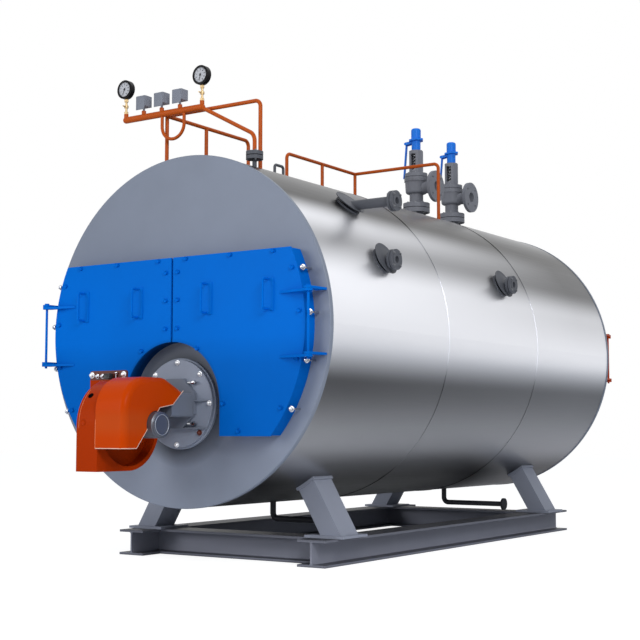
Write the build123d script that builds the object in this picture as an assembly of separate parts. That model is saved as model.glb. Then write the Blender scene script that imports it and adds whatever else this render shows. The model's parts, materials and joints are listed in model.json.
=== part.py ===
import math
import os

from build123d import *

# Origin: on the floor, in the middle of the front cross beam's underside.
# X runs across the boiler, Y from the burner end to the rear, Z up.

# Drum, lying along Y, with a painted end plate at each end
drum_radius = 1100
drum_length = 4325
drum_clearance = 180
end_plate_thickness = 32
end_plate_lip = 3
end_plate_edge = 4
insulation_thickness = 57
shell_wall = 16
cladding_section_count = 3
bead_width = 12
bead_height = 3

# Skid of rolled H beams
leg_inset = 635
beam_spacing = 1446
beam_width = 205
beam_height = 165
beam_web = 11
beam_flange = 15
beam_root_radius = 12
skid_front_overhang = 280
skid_rear_overhang = 325

# Legs, splayed in line with the drum's radius
leg_foot_shift = 24
leg_width = 200
leg_thickness = 130
saddle_margin = 9
saddle_thickness = 20
pad_size = 285
pad_thickness = 16

# Smoke box doors and the low box that they close
door_margin = 106
door_top_rise = 444
door_bottom_drop = 653
door_thickness = 14
door_gap = 16
door_reach = 106
door_seat = 0.3
gasket_thickness = 6
box_wall = 12
box_inset = 4
mullion_width = 110
arch_radius = 377

# Door hinges: a rod outside the rim, an arm on the door and a bracket on the end plate
hinge_inset = 60
hinge_stand_off = 34
hinge_half_span = 188
arm_length = 222
arm_thickness = 14
arm_stack_gap = 1
arm_eye_radius = 26
arm_root_depth = 4
bracket_inset = 38
bracket_root_width = 72
pin_radius = 8
pin_running_gap = 0.08
pin_head_radius = 15
pin_head_height = 9
pin_tail = 12

# Door handles, bent from round bar on a backing plate
handle_length = 176
handle_bar_radius = 7
handle_stand_off = 58
handle_rise = 175
handle_plate_width = 80
handle_plate_height = 196
handle_plate_thickness = 4
handle_place_shares = (0.277, 0.739)

# Round plate in the arch of the doors, with the burner's flange and air duct
burner_drop = 455
burner_ring_radius = 281
burner_ring_thickness = 20
burner_plate_radius = 271
burner_plate_thickness = 24
burner_plate_edge = 3
burner_flange_width = 305
burner_flange_thickness = 30
burner_flange_sides = 8
burner_rib_reach = 243
burner_rib_thickness = 6
burner_rib_tip = 5
upper_rib_rise = 15
lower_rib_drop = 150
duct_width = 290
duct_height = 145
duct_corner = 16
duct_drop = 11
duct_end_share = 0.6

# Fan scroll beside the centre plane
fan_axis_reach = 431
fan_axis_drop = 587
fan_radius = 270
fan_offset = 212
fan_width = 168
fan_edge = 8
fan_recess_rim = 26
fan_recess_depth = 70

# Sheet hood over the motor, open below, on the scroll's right side
hood_width = 209
hood_overlap = 12
hood_gap = 0.3
hood_sheet = 4
hood_edge_radius = 42
hood_front_low_share = -0.5
hood_top_share = 1.033
hood_rear_shares = ((0.344, 1.033), (0.936, 0.751))
hood_nose_share = 0.75
hood_crown_share = 0.45
hood_lip_shares = ((-0.619, -0.5), (0.122, 0.374), (0.556, 0.444), (1.1, 0.933))

# Fan motor on the scroll's axis
motor_radius = 78
motor_length = 253
motor_edge = 14
motor_cover_radius = 56
motor_cover_depth = 6
motor_hood_gap = 4

# Actuator plate over the scroll, with an upright web at its left
actuator_overhang = 151
actuator_plate_width = 297
actuator_plate_height = 56
actuator_plate_thickness = 10
actuator_corner = 14
actuator_web_height = 125

# Guard rail of pipe along the left of the top, that crosses the drum at both ends
rail_offset = 385
rail_rise = 365
rail_pitch = 483
rail_front_reach = 283
rail_second_reach = 699
rail_radius = 13
rail_bend = 40

# Gauge manifold, laid against the rail's front cross bar
manifold_step = 10
manifold_offset = 740
manifold_length = 700
manifold_radius = 22
manifold_seat = 0.3
stub_radius = 15
stub_height = 42
gauge_inset = 21
gauge_rise = 209
gauge_radius = 64
gauge_depth = 46
gauge_rim = 7
gauge_back_edge = 10
dial_recess = 5
cock_radius = 8
cock_nut_radius = 15
cock_nut_height = 16
cock_nut_gap = 3
cock_sides = 6
cock_key_length = 36
cock_key_radius = 4
switch_count = 3
switch_inset = 179
switch_pitch = 157
switch_rise = 104
switch_width = 80
switch_depth = 75
switch_height = 70
switch_corner = 8
siphon_inset = 341
siphon_width = 188
siphon_leg = 85
siphon_radius = 11

# Steam tapping on the drum and its pipe from the manifold
tap_offset = 417
tap_reach = 180
tap_stem_radius = 14
tap_flange_radius = 54
tap_flange_thickness = 23
tap_flange_rise = 45
flange_gap = 5
sensing_start_inset = 28
sensing_bend = 70
sensing_bend_share = 0.3

# Lifting lug of bent bar
lug_reach = 1025
lug_width = 122
lug_height = 128
lug_bar_radius = 10

# Side nozzles, level, each with a collar plate on the cladding
upper_nozzle_reach = 770
front_nozzle_reach = 737
rear_nozzle_reach = 2431
upper_nozzle_rise_share = 0.75
side_nozzle_rise_share = 0.405
upper_nozzle_length = 371
side_nozzle_length = 111
nozzle_pipe_radius = 32
nozzle_flange_radius = 66
nozzle_flange_thickness = 17
nozzle_gasket_radius = 46
nozzle_face_radius = 44
nozzle_face_height = 2
nozzle_bore_radius = 22
nozzle_bore_depth = 50
nozzle_collar_radius = 88
nozzle_collar_thickness = 12

# Safety valves on the top line, from the drum upwards
valve_reaches = (2964, 3580)
valve_stub_rise = 56
valve_stub_radius = 56
valve_flange_radius = 109
valve_flange_thickness = 36
valve_flange_hub = 18
valve_neck_height = 79
valve_body_radius = 92
valve_body_taper = 5
valve_body_round = 22
valve_body_height = 100
valve_gasket_radius = 84
valve_lower_disc = 34
valve_upper_disc = 28
valve_disc_gap = 6
valve_disc_step = 6
valve_bonnet_sides = 8
valve_bonnet_width = 110
valve_bonnet_height = 193
valve_bonnet_wall = 12
valve_bonnet_edge = 5
valve_window_width = 44
valve_window_margin = 30
valve_post_radius = 37
valve_post_height = 79
valve_yoke_sides = 6
valve_yoke_radius = 66
valve_yoke_thickness = 14
valve_yoke_tilt = 5
valve_cap_radius = 40
valve_cap_height = 106
valve_cap_round = 18
valve_cap_groove = 4
valve_outlet_drop = 52
valve_outlet_reach = 192
valve_outlet_pipe_radius = 50
valve_outlet_hub = 14
valve_outlet_flange_radius = 127
valve_outlet_flange_thickness = 26
valve_outlet_bore = 42
valve_outlet_depth = 60
valve_bolt_circle_radius = 94
valve_bolt_hole = 9
valve_bolt_count = 4

# Spring of a safety valve, on its spindle between two plates
spring_radius = 28
spring_wire_radius = 5.5
spring_turns = 5
spring_seat = 0.1
spindle_radius = 9
spring_plate_radius = 37
spring_plate_thickness = 9
spring_screw_radius = 15
spring_screw_length = 12

# Lifting lever of a safety valve
lever_pivot_offset = 88
lever_pivot_drop = 14
lever_length = 290
lever_width = 24
lever_thickness = 8
lever_pin_radius = 5
lever_ear_gap = 5
lever_ear_thickness = 8
lever_rake = 5

# Drains under the drum
front_drain_reach = 968
rear_drain_reach = 3399
drain_radius = 20
drain_drop = 114
front_drain_end = 420
rear_drain_end = 554
drain_flange_radius = 47
drain_flange_thickness = 18

# One overrun serves every cut
overrun = 50


# Places worked out from the sizes above
axis_height = beam_height + drum_clearance + drum_radius
front_y = -leg_inset
rear_y = front_y + drum_length
cladding_radius = drum_radius - end_plate_lip
shell_radius = cladding_radius - insulation_thickness
rear_leg_y = rear_y - leg_inset
skid_front_y = -skid_front_overhang
skid_rear_y = rear_leg_y + skid_rear_overhang
crown_z = axis_height + drum_radius
pad_top = beam_height + pad_thickness
leg_angle = math.degrees(math.atan((beam_spacing / 2 + leg_foot_shift) / (axis_height - pad_top)))
door_radius = drum_radius - door_margin
hinge_x = drum_radius - hinge_inset
hinge_reach = door_reach + hinge_stand_off
burner_z = axis_height - burner_drop
burner_front_y = front_y - burner_ring_thickness - burner_plate_thickness
fan_y = front_y - fan_axis_reach
fan_z = axis_height - fan_axis_drop
fan_left = -fan_offset
fan_right = fan_left + fan_width
rail_z = crown_z + rail_rise
rail_y = front_y + rail_front_reach
manifold_z = rail_z + manifold_step
manifold_seat_reach = manifold_radius + rail_radius + manifold_seat
manifold_y = rail_y - math.sqrt(manifold_seat_reach ** 2 - manifold_step ** 2)
manifold_left = -manifold_offset
manifold_right = manifold_left + manifold_length
valve_base_z = crown_z + valve_stub_rise
valve_neck_z = valve_base_z + 2 * valve_flange_thickness + flange_gap
valve_body_z = valve_neck_z + valve_neck_height
valve_disc_z = valve_body_z + valve_body_height
valve_bonnet_z = valve_disc_z + valve_lower_disc + valve_disc_gap + valve_upper_disc
valve_post_z = valve_bonnet_z + valve_bonnet_height
valve_yoke_z = valve_post_z + valve_post_height
valve_outlet_z = valve_disc_z - valve_outlet_drop
lever_pivot_z = valve_yoke_z - lever_pivot_drop


def block(x_span, y_span, z_span):
    """A box between three pairs of faces."""
    size = (x_span[1] - x_span[0], y_span[1] - y_span[0], z_span[1] - z_span[0])
    middle = (sum(x_span) / 2, sum(y_span) / 2, sum(z_span) / 2)
    return Pos(*middle) * Box(*size)


def rod_x(radius, x_span, y, z):
    """A round bar along X."""
    length = x_span[1] - x_span[0]
    return Pos(sum(x_span) / 2, y, z) * Rot(0, 90, 0) * Cylinder(radius, length)


def rod_y(radius, x, y_span, z):
    """A round bar along Y."""
    length = y_span[1] - y_span[0]
    return Pos(x, sum(y_span) / 2, z) * Rot(90, 0, 0) * Cylinder(radius, length)


def rod_z(radius, x, y, z_span):
    """A round bar along Z."""
    length = z_span[1] - z_span[0]
    return Pos(x, y, sum(z_span) / 2) * Cylinder(radius, length)


def turned(points):
    """A solid turned about Z from its half outline of radius and height pairs."""
    return revolve(Plane.XZ * make_face(Polyline(*points, close=True)), Axis.Z)


def slab_y(sketch, y_span, z):
    """An XZ outline, with its own zero at a height, made solid between two places along Y."""
    at = Plane(origin=(0, y_span[1], z), x_dir=(1, 0, 0), z_dir=(0, -1, 0))
    return extrude(at * sketch, amount=y_span[1] - y_span[0])


def drum_body(radius):
    """The drum's cylinder at a given radius, longer than the drum."""
    return rod_y(radius, 0, (front_y - overrun, rear_y + overrun), axis_height)


def drum_top(radius, x):
    """Height of the drum's upper side at a distance from its centre plane."""
    return axis_height + math.sqrt(radius ** 2 - x ** 2)


def section_start(index):
    """Front end of one length of the jacket."""
    length = (drum_length - 2 * end_plate_thickness) / cladding_section_count
    return front_y + end_plate_thickness + index * length


def seam_bead(index):
    """Raised band over the seam at the front of one length of the jacket."""
    start = section_start(index)
    return rod_y(cladding_radius + bead_height, 0, (start, start + bead_width), axis_height)


def jacket_form():
    """The outside of the jacket with its beads, that all fittings on the drum are cut to."""
    form = drum_body(cladding_radius)
    for index in range(1, cladding_section_count):
        form += seam_bead(index)
    return form


def bent_pipe(radius, points, bend):
    """A pipe along straight runs joined by arcs."""
    path = FilletPolyline(*points, radius=bend)
    section = Plane(origin=path @ 0, z_dir=path % 0) * Circle(radius)
    return sweep(section, path)


# Skid
def beam_profile():
    """Rolled H section, with its web upright and rounded roots."""
    outline = Rectangle(beam_width, beam_height)
    hollow = Rectangle((beam_width - beam_web) / 2, beam_height - 2 * beam_flange)
    side = (beam_width + beam_web) / 4
    profile = outline - Pos(side, 0) * hollow - Pos(-side, 0) * hollow
    roots = profile.vertices().filter_by_position(Axis.X, -beam_web, beam_web)
    return fillet(roots, beam_root_radius)


def side_beam(side):
    """Long beam of the skid, along one side."""
    middle = (side * beam_spacing / 2, skid_front_y, beam_height / 2)
    at = Plane(origin=middle, x_dir=(1, 0, 0), z_dir=(0, 1, 0))
    return extrude(at * beam_profile(), amount=skid_rear_y - skid_front_y)


def cross_beam(y):
    """Beam between the side beams, coped to fit into their webs."""
    half = (beam_spacing - beam_web) / 2
    at = Plane(origin=(-half, y, beam_height / 2), x_dir=(0, 1, 0), z_dir=(1, 0, 0))
    beam = extrude(at * beam_profile(), amount=2 * half)
    return beam - side_beam(-1) - side_beam(1)


# Legs
def radial_bar(side, y, thickness, width, inner, outer):
    """A bar along the drum's radius, from one radius to another."""
    bar = Pos(0, 0, -(inner + outer) / 2) * Box(thickness, width, outer - inner)
    return Pos(0, y, axis_height) * Rot(0, -side * leg_angle, 0) * bar


def leg(side, y):
    """Box leg on its foot pad."""
    reach = axis_height / math.cos(math.radians(leg_angle))
    bar = radial_bar(side, y, leg_thickness, leg_width, cladding_radius - overrun, reach)
    bar -= drum_body(cladding_radius + saddle_thickness)
    bar -= block((-axis_height, axis_height), (y - leg_width, y + leg_width), (-axis_height, pad_top))
    middle = side * beam_spacing / 2
    half = pad_size / 2
    pad = block((middle - half, middle + half), (y - half, y + half), (beam_height, pad_top))
    return bar + pad


def saddle(side, y):
    """Curved plate between the cladding and a leg."""
    thickness = leg_thickness + 2 * saddle_margin
    width = leg_width + 2 * saddle_margin
    piece = radial_bar(side, y, thickness, width, cladding_radius - overrun, drum_radius + overrun)
    piece &= drum_body(cladding_radius + saddle_thickness)
    return piece - jacket_form()


# Drum
def end_plate(y_span, outer):
    """Round plate with a chamfered outer rim: outer picks its first or last edge along Y."""
    plate = rod_y(drum_radius, 0, y_span, axis_height)
    rim = plate.edges().filter_by(GeomType.CIRCLE).group_by(Axis.Y)[outer]
    return chamfer(rim, end_plate_edge)


def pressure_shell():
    """Closed drum inside the insulation."""
    y_span = (front_y + end_plate_thickness, rear_y - end_plate_thickness)
    outside = rod_y(shell_radius, 0, y_span, axis_height)
    return outside - rod_y(shell_radius - shell_wall, 0, y_span, axis_height)


def cladding_section(index):
    """One length of the sheet jacket with its insulation, and a bead over each seam."""
    start = section_start(index)
    ring = rod_y(cladding_radius, 0, (start, section_start(index + 1)), axis_height)
    if index > 0:
        ring += seam_bead(index)
    return ring - drum_body(shell_radius)


# Smoke boxes and doors
def door_field(inset, arch):
    """The doors' whole outline, less an inset all round, in the XZ plane."""
    height = door_top_rise + door_bottom_drop - 2 * inset
    middle = (door_top_rise - door_bottom_drop) / 2
    field = Circle(door_radius - inset) & (Pos(0, middle) * Rectangle(2 * drum_radius, height))
    if not arch:
        return field
    radius = arch_radius + inset
    cut = Circle(radius) + Pos(0, -drum_radius / 2) * Rectangle(2 * radius, drum_radius)
    return field - Pos(0, -burner_drop) * cut


def end_face(facing):
    """Place of the drum's end face: facing -1 is the front, 1 the rear."""
    return front_y if facing < 0 else rear_y


def upright(sketch, start, depth, facing):
    """Extrude an XZ outline outwards from one end of the drum."""
    near = end_face(facing) + facing * start
    return slab_y(sketch, sorted((near, near + facing * depth)), axis_height)


def box_depth():
    """Depth of the smoke box, up to its gasket."""
    return door_reach - door_thickness - door_seat - gasket_thickness


def smoke_box(facing, arch):
    """Low wall round the doors' field, with a mullion behind their meeting edge."""
    inside = door_field(box_inset + box_wall, arch)
    wall = door_field(box_inset, arch) - inside
    bar = Rectangle(mullion_width, 2 * drum_radius) & inside
    return upright(wall + bar, 0, box_depth(), facing)


def gasket(facing, arch):
    """Rope gasket on the smoke box's wall."""
    ring = door_field(2 * box_inset, arch) - door_field(box_inset + box_wall, arch)
    return upright(ring, box_depth(), gasket_thickness, facing)


def hinge_point(side, facing):
    """Place of a hinge rod in plan."""
    return side * hinge_x, end_face(facing) + facing * hinge_reach


def hinge_arm(side, facing, z):
    """Flat arm that lies on edge against the door and carries the rod's eye."""
    x, y = hinge_point(side, facing)
    face = end_face(facing) + facing * door_reach
    root = side * (hinge_x - arm_length)
    points = [(root, face), (x, face), (x, y + facing * arm_eye_radius), (root, face + facing * arm_root_depth)]
    arm = Pos(0, 0, z) * extrude(make_face(Polyline(*points, close=True)), amount=arm_thickness)
    return arm + rod_z(arm_eye_radius, x, y, (z, z + arm_thickness))


def handle(x, facing):
    """Handle of round bar, bent twice, on its backing plate."""
    face = end_face(facing) + facing * door_reach
    out = face + facing * handle_stand_off
    low = axis_height + handle_rise - handle_length / 2
    high = low + handle_length
    points = [(x, face, low), (x, out, low), (x, out, high), (x, face, high)]
    plate = Pos(x, handle_rise) * Rectangle(handle_plate_width, handle_plate_height)
    bar = bent_pipe(handle_bar_radius, points, 2 * handle_bar_radius)
    return bar + upright(plate, door_reach, handle_plate_thickness, facing)


def door(side, facing, arch):
    """One leaf with its two hinge arms and two handles."""
    half = Pos(side * (drum_radius + door_gap) / 2, 0) * Rectangle(drum_radius, 2 * drum_radius)
    leaf = upright(door_field(0, arch) & half, door_reach - door_thickness, door_thickness, facing)
    x, y = hinge_point(side, facing)
    for level in (-1, 1):
        middle = axis_height + level * hinge_half_span
        leaf += hinge_arm(side, facing, middle - arm_thickness - arm_stack_gap / 2)
    reach = hinge_half_span + 2 * arm_thickness
    leaf -= rod_z(pin_radius + pin_running_gap, x, y, (axis_height - reach, axis_height + reach))
    for share in handle_place_shares:
        leaf += handle(side * share * door_radius, facing)
    return leaf


def bracket_plate(side, facing, bottom):
    """Tapered plate from the end plate out to the rod's eye."""
    x, y = hinge_point(side, facing)
    face = end_face(facing)
    root = side * (hinge_x - bracket_inset)
    points = [(root, face), (root + side * bracket_root_width, face), (x + side * arm_eye_radius, y),
              (x, y + facing * arm_eye_radius), (x - side * arm_eye_radius, y)]
    plate = extrude(make_face(Polyline(*points, close=True)), amount=arm_thickness)
    return Pos(0, 0, bottom) * plate + rod_z(arm_eye_radius, x, y, (bottom, bottom + arm_thickness))


def hinge_bracket(side, facing):
    """The two brackets on the end plate and the rod through them."""
    x, y = hinge_point(side, facing)
    low = axis_height - hinge_half_span - arm_thickness - arm_stack_gap / 2 - pin_tail
    high = axis_height + hinge_half_span + arm_stack_gap / 2 + arm_thickness
    piece = rod_z(pin_radius, x, y, (low, high))
    piece += rod_z(pin_head_radius, x, y, (high, high + pin_head_height))
    for level in (-1, 1):
        piece += bracket_plate(side, facing, axis_height + level * hinge_half_span + arm_stack_gap / 2)
    return piece


# Burner
def burner_disc(radius, back, thickness):
    """Round plate in front of the drum, with a chamfered front rim."""
    disc = rod_y(radius, 0, (back - thickness, back), burner_z)
    rim = disc.edges().filter_by(GeomType.CIRCLE).group_by(Axis.Y)[0]
    return chamfer(rim, burner_plate_edge)


def burner_rib(z):
    """Tapered rib on the round plate, beside the burner's flange."""
    root = burner_front_y - burner_flange_thickness
    points = [(0, burner_front_y), (0, root), (burner_flange_width / 2, root),
              (burner_rib_reach, burner_front_y - burner_rib_tip), (burner_rib_reach, burner_front_y)]
    rib = extrude(make_face(Polyline(*points, close=True)), amount=burner_rib_thickness)
    return Pos(0, 0, z - burner_rib_thickness / 2) * rib


def duct_body(margin):
    """Air duct from the round plate to the scroll, with a margin all round."""
    outline = RectangleRounded(duct_width + 2 * margin, duct_height + 2 * margin, duct_corner + margin)
    front = fan_y + duct_end_share * fan_radius - margin
    return slab_y(Pos(0, -duct_drop) * outline, (front, burner_front_y), burner_z)


def burner_head():
    """Eight-sided flange with two ribs, and the air duct on to the scroll."""
    turn = 180 / burner_flange_sides
    outline = RegularPolygon(burner_flange_width / 2, burner_flange_sides, major_radius=False, rotation=turn)
    head = slab_y(outline, (burner_front_y - burner_flange_thickness, burner_front_y), burner_z)
    head += duct_body(0)
    head += burner_rib(burner_z + upper_rib_rise) + burner_rib(burner_z - lower_rib_drop)
    return head - scroll_body(fan_radius, fan_left, fan_right)


def fan_plane(x):
    """Plane across the fan's axis, with its own x towards the rear."""
    return Plane(origin=(x, fan_y, fan_z), x_dir=(0, 1, 0), z_dir=(1, 0, 0))


def scroll_body(radius, left, right):
    """Fan scroll: round, with a square foot towards the front."""
    outline = Circle(radius) + Pos(-radius / 2, -radius / 2) * Rectangle(radius, radius)
    return extrude(fan_plane(left) * outline, amount=right - left)


def fan_housing():
    """Scroll with rounded rims, open to the right, and the web beside it."""
    body = scroll_body(fan_radius, fan_left, fan_right)
    body = fillet(body.edges().group_by(Axis.X)[0], fan_edge)
    body -= rod_x(fan_radius - fan_recess_rim, (fan_right - fan_recess_depth, fan_right + overrun), fan_y, fan_z)
    top = fan_z + fan_radius
    web = block((fan_left - actuator_overhang, fan_left + fan_edge),
                (fan_y, fan_y + actuator_plate_thickness), (top - actuator_web_height, top))
    return body + web


def motor():
    """Fan motor: a drum with a chamfered end ring and a sunk cover."""
    start = fan_right - fan_recess_depth
    points = [(0, 0), (motor_radius, 0), (motor_radius, motor_length + fan_recess_depth - motor_edge),
              (motor_radius - motor_edge, motor_length + fan_recess_depth),
              (motor_cover_radius, motor_length + fan_recess_depth),
              (motor_cover_radius, motor_length + fan_recess_depth - motor_cover_depth),
              (0, motor_length + fan_recess_depth - motor_cover_depth)]
    return Pos(start, fan_y, fan_z) * Rot(0, 90, 0) * turned(points)


def fan_shares(shares):
    """Points across the fan's axis, from shares of the scroll's radius."""
    return [(share[0] * fan_radius, share[1] * fan_radius) for share in shares]


def hood_face(low):
    """Side outline of the hood, down to a level below the fan's axis."""
    front = -(fan_radius + hood_gap + hood_sheet)
    crown, tail = fan_shares(hood_rear_shares)
    points = [(front, low), (front, hood_top_share * fan_radius), crown, tail]
    radii = [hood_nose_share * fan_radius, hood_crown_share * fan_radius]
    path = FilletPolyline(*points, radius=radii)
    return make_face(path + Polyline(tail, (tail[0], low), (front, low)))


def hood_form(outline, inset):
    """The hood's solid form with its right rim rounded, less an inset at both sides."""
    left = fan_right - hood_overlap + inset
    right = fan_right + hood_width - inset
    form = extrude(fan_plane(left) * outline, amount=right - left)
    rim = form.faces().sort_by(Axis.X)[-1].edges().sort_by(Axis.Y)[:-1].sort_by(Axis.Z)[1:]
    return fillet(rim, hood_edge_radius - inset)


def hood():
    """Pressed sheet hood, cut open below along its slanting lip."""
    low = hood_front_low_share * fan_radius
    lip = fan_shares(hood_lip_shares)
    under = make_face(Polyline(*lip, (axis_height, -axis_height), (lip[0][0], -axis_height), close=True))
    open_side = extrude(fan_plane(fan_left) * under, amount=fan_width + 2 * hood_width)
    inner = hood_form(offset(hood_face(low - overrun), amount=-hood_sheet), hood_sheet)
    shell = hood_form(hood_face(low), 0) - inner - open_side
    shell -= scroll_body(fan_radius + hood_gap, fan_left, fan_right) + duct_body(hood_gap)
    return shell - rod_x(motor_radius + motor_hood_gap, (fan_right, fan_right + 2 * hood_width), fan_y, fan_z)


def actuator_bracket():
    """Plate with round upper corners that stands on the scroll and its web."""
    low = fan_z + fan_radius
    left = fan_left - actuator_overhang
    outline = Pos(left + actuator_plate_width / 2, actuator_plate_height / 2) * Rectangle(
        actuator_plate_width, actuator_plate_height)
    outline = fillet(outline.vertices().group_by(Axis.Y)[-1], actuator_corner)
    return slab_y(outline, (fan_y, fan_y + actuator_plate_thickness), low)


# Guard rail
def rail_post(x, y):
    """Upright post that stands on the cladding."""
    return rod_z(rail_radius, x, y, (axis_height, rail_z)) - jacket_form()


def left_rail():
    """Front length of the rail, with a round elbow at its front post and one post halfway."""
    last = front_y + rail_second_reach + rail_pitch
    points = [(-rail_offset, rail_y, rail_z), (-rail_offset, last, rail_z), (-rail_offset, last, axis_height)]
    pipe = bent_pipe(rail_radius, points, rail_bend) - jacket_form()
    pipe += Pos(-rail_offset, rail_y, rail_z) * Sphere(rail_radius)
    return pipe + rail_post(-rail_offset, rail_y) + rail_post(-rail_offset, front_y + rail_second_reach)


def front_cross_bar():
    """Cross bar from the left rail over to the right post, that carries the manifold."""
    points = [(-rail_offset, rail_y, rail_z), (rail_offset, rail_y, rail_z), (rail_offset, rail_y, axis_height)]
    return bent_pipe(rail_radius, points, rail_bend) - jacket_form() - left_rail()


def rear_rail():
    """Rear length of the rail, that turns across the drum and down."""
    first = front_y + rail_second_reach + 2 * rail_pitch
    corner = first + 2 * rail_pitch
    along = [(-rail_offset, first, axis_height), (-rail_offset, first, rail_z), (-rail_offset, corner, rail_z)]
    across = [(-rail_offset, corner, rail_z), (rail_offset, corner, rail_z), (rail_offset, corner, axis_height)]
    pipe = bent_pipe(rail_radius, along, rail_bend) + bent_pipe(rail_radius, across, rail_bend)
    pipe -= jacket_form()
    pipe += Pos(-rail_offset, corner, rail_z) * Sphere(rail_radius)
    return pipe + rail_post(-rail_offset, first + rail_pitch) + rail_post(-rail_offset, corner)


# Gauge manifold
def manifold_bar():
    """Thick pipe with domed ends."""
    bar = rod_x(manifold_radius, (manifold_left + manifold_radius, manifold_right - manifold_radius),
                manifold_y, manifold_z)
    for x in (manifold_left + manifold_radius, manifold_right - manifold_radius):
        bar += Pos(x, manifold_y, manifold_z) * Sphere(manifold_radius)
    return bar


def gauge_places():
    return [manifold_left + gauge_inset, manifold_right - gauge_inset]


def switch_places():
    return [manifold_left + switch_inset + index * switch_pitch for index in range(switch_count)]


def manifold():
    """Pipe with domed ends, a stub for each fitting and the siphon below."""
    pipe = manifold_bar() + siphon()
    for x in gauge_places() + switch_places():
        pipe += rod_z(stub_radius, x, manifold_y, (manifold_z, manifold_z + stub_height))
    return pipe


def siphon():
    """U of thin pipe that hangs from the manifold."""
    left = manifold_left + siphon_inset
    right = left + siphon_width
    low = manifold_z - siphon_leg
    middle = (left + siphon_width / 2, manifold_y, low - siphon_width / 2)
    path = (Line((left, manifold_y, manifold_z), (left, manifold_y, low))
            + ThreePointArc((left, manifold_y, low), middle, (right, manifold_y, low))
            + Line((right, manifold_y, low), (right, manifold_y, manifold_z)))
    return sweep(Plane(origin=(left, manifold_y, manifold_z), z_dir=(0, 0, -1)) * Circle(siphon_radius), path)


def gauge(x):
    """Case of a round gauge that faces the front, with a rim round its sunk dial."""
    front = gauge_depth / 2
    points = [(0, -front), (gauge_radius - gauge_back_edge, -front), (gauge_radius, gauge_back_edge - front),
              (gauge_radius, front), (gauge_radius - gauge_rim, front),
              (gauge_radius - gauge_rim, front - dial_recess), (0, front - dial_recess)]
    return Pos(x, manifold_y, manifold_z + gauge_rise) * Rot(90, 0, 0) * turned(points)


def gauge_cock(x):
    """Brass cock between a stub and its gauge: two nuts and a key across."""
    low = manifold_z + stub_height
    high = manifold_z + gauge_rise
    middle = (low + high - gauge_radius) / 2
    cock = rod_z(cock_radius, x, manifold_y, (low, high))
    nut = extrude(RegularPolygon(cock_nut_radius, cock_sides), amount=cock_nut_height)
    for z in (low, high - gauge_radius - cock_nut_height - cock_nut_gap):
        cock += Pos(x, manifold_y, z) * nut
    cock += rod_z(cock_nut_radius, x, manifold_y, (middle - cock_nut_height / 2, middle + cock_nut_height / 2))
    cock += rod_y(cock_key_radius, x, (manifold_y - cock_key_length, manifold_y), middle)
    return cock - rod_y(gauge_radius, x, (manifold_y - gauge_depth, manifold_y + gauge_depth), high)


def pressure_switch(x):
    """Square box with round upright edges, on a thin stem."""
    low = manifold_z + switch_rise - switch_height / 2
    box = extrude(RectangleRounded(switch_width, switch_depth, switch_corner), amount=switch_height)
    return Pos(x, manifold_y, low) * box + rod_z(cock_radius, x, manifold_y, (manifold_z + stub_height, low))


# Steam tapping
def tap_flange_z():
    """Underside of the tapping's lower flange."""
    return drum_top(cladding_radius, tap_offset) + tap_flange_rise


def tap_top_z():
    return tap_flange_z() + 2 * tap_flange_thickness + flange_gap


def steam_tapping():
    """Stem with a pair of flanges, upright on the drum."""
    low = tap_flange_z()
    gap = low + tap_flange_thickness
    points = [(0, axis_height), (tap_stem_radius, axis_height), (tap_stem_radius, low), (tap_flange_radius, low),
              (tap_flange_radius, gap), (2 * tap_stem_radius, gap), (2 * tap_stem_radius, gap + flange_gap),
              (tap_flange_radius, gap + flange_gap), (tap_flange_radius, tap_top_z()), (0, tap_top_z())]
    return Pos(tap_offset, front_y + tap_reach, 0) * turned(points) - jacket_form()


def sensing_pipe():
    """Pipe from the manifold's right end slanting down to the steam tapping."""
    y = front_y + tap_reach
    top = tap_top_z()
    bend_z = top + sensing_bend_share * (manifold_z - top)
    start = (manifold_right - sensing_start_inset, manifold_y, manifold_z)
    pipe = bent_pipe(rail_radius, [start, (tap_offset, y, bend_z), (tap_offset, y, top)], sensing_bend)
    return pipe - manifold_bar() - front_cross_bar()


# Lifting lug
def lifting_lug():
    """Eye of bent round bar across the top of the drum."""
    y = front_y + lug_reach
    top = axis_height + cladding_radius + lug_height - lug_bar_radius
    foot = axis_height + cladding_radius - lug_bar_radius
    half = lug_width / 2 - lug_bar_radius
    points = [(0, y - half, foot), (0, y - half, top), (0, y + half, top), (0, y + half, foot)]
    return bent_pipe(lug_bar_radius, points, 2 * lug_bar_radius) - jacket_form()


# Side nozzles
def side_nozzle(reach, rise_share, length):
    """Level pipe that ends in a pair of flanges with a raised face and a bore."""
    rise = rise_share * cladding_radius
    root = math.sqrt(cladding_radius ** 2 - rise ** 2)
    face = overrun + length
    front = face - nozzle_face_height
    near = front - nozzle_flange_thickness
    far = near - flange_gap - nozzle_flange_thickness
    points = [(0, 0), (nozzle_pipe_radius, 0), (nozzle_pipe_radius, far), (nozzle_flange_radius, far),
              (nozzle_flange_radius, near - flange_gap), (nozzle_gasket_radius, near - flange_gap),
              (nozzle_gasket_radius, near), (nozzle_flange_radius, near), (nozzle_flange_radius, front),
              (nozzle_face_radius, front), (nozzle_face_radius, face), (nozzle_bore_radius, face),
              (nozzle_bore_radius, face - nozzle_bore_depth), (0, face - nozzle_bore_depth)]
    at = Pos(root - overrun, front_y + reach, axis_height + rise) * Rot(0, 90, 0)
    return at * turned(points) - jacket_form()


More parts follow.
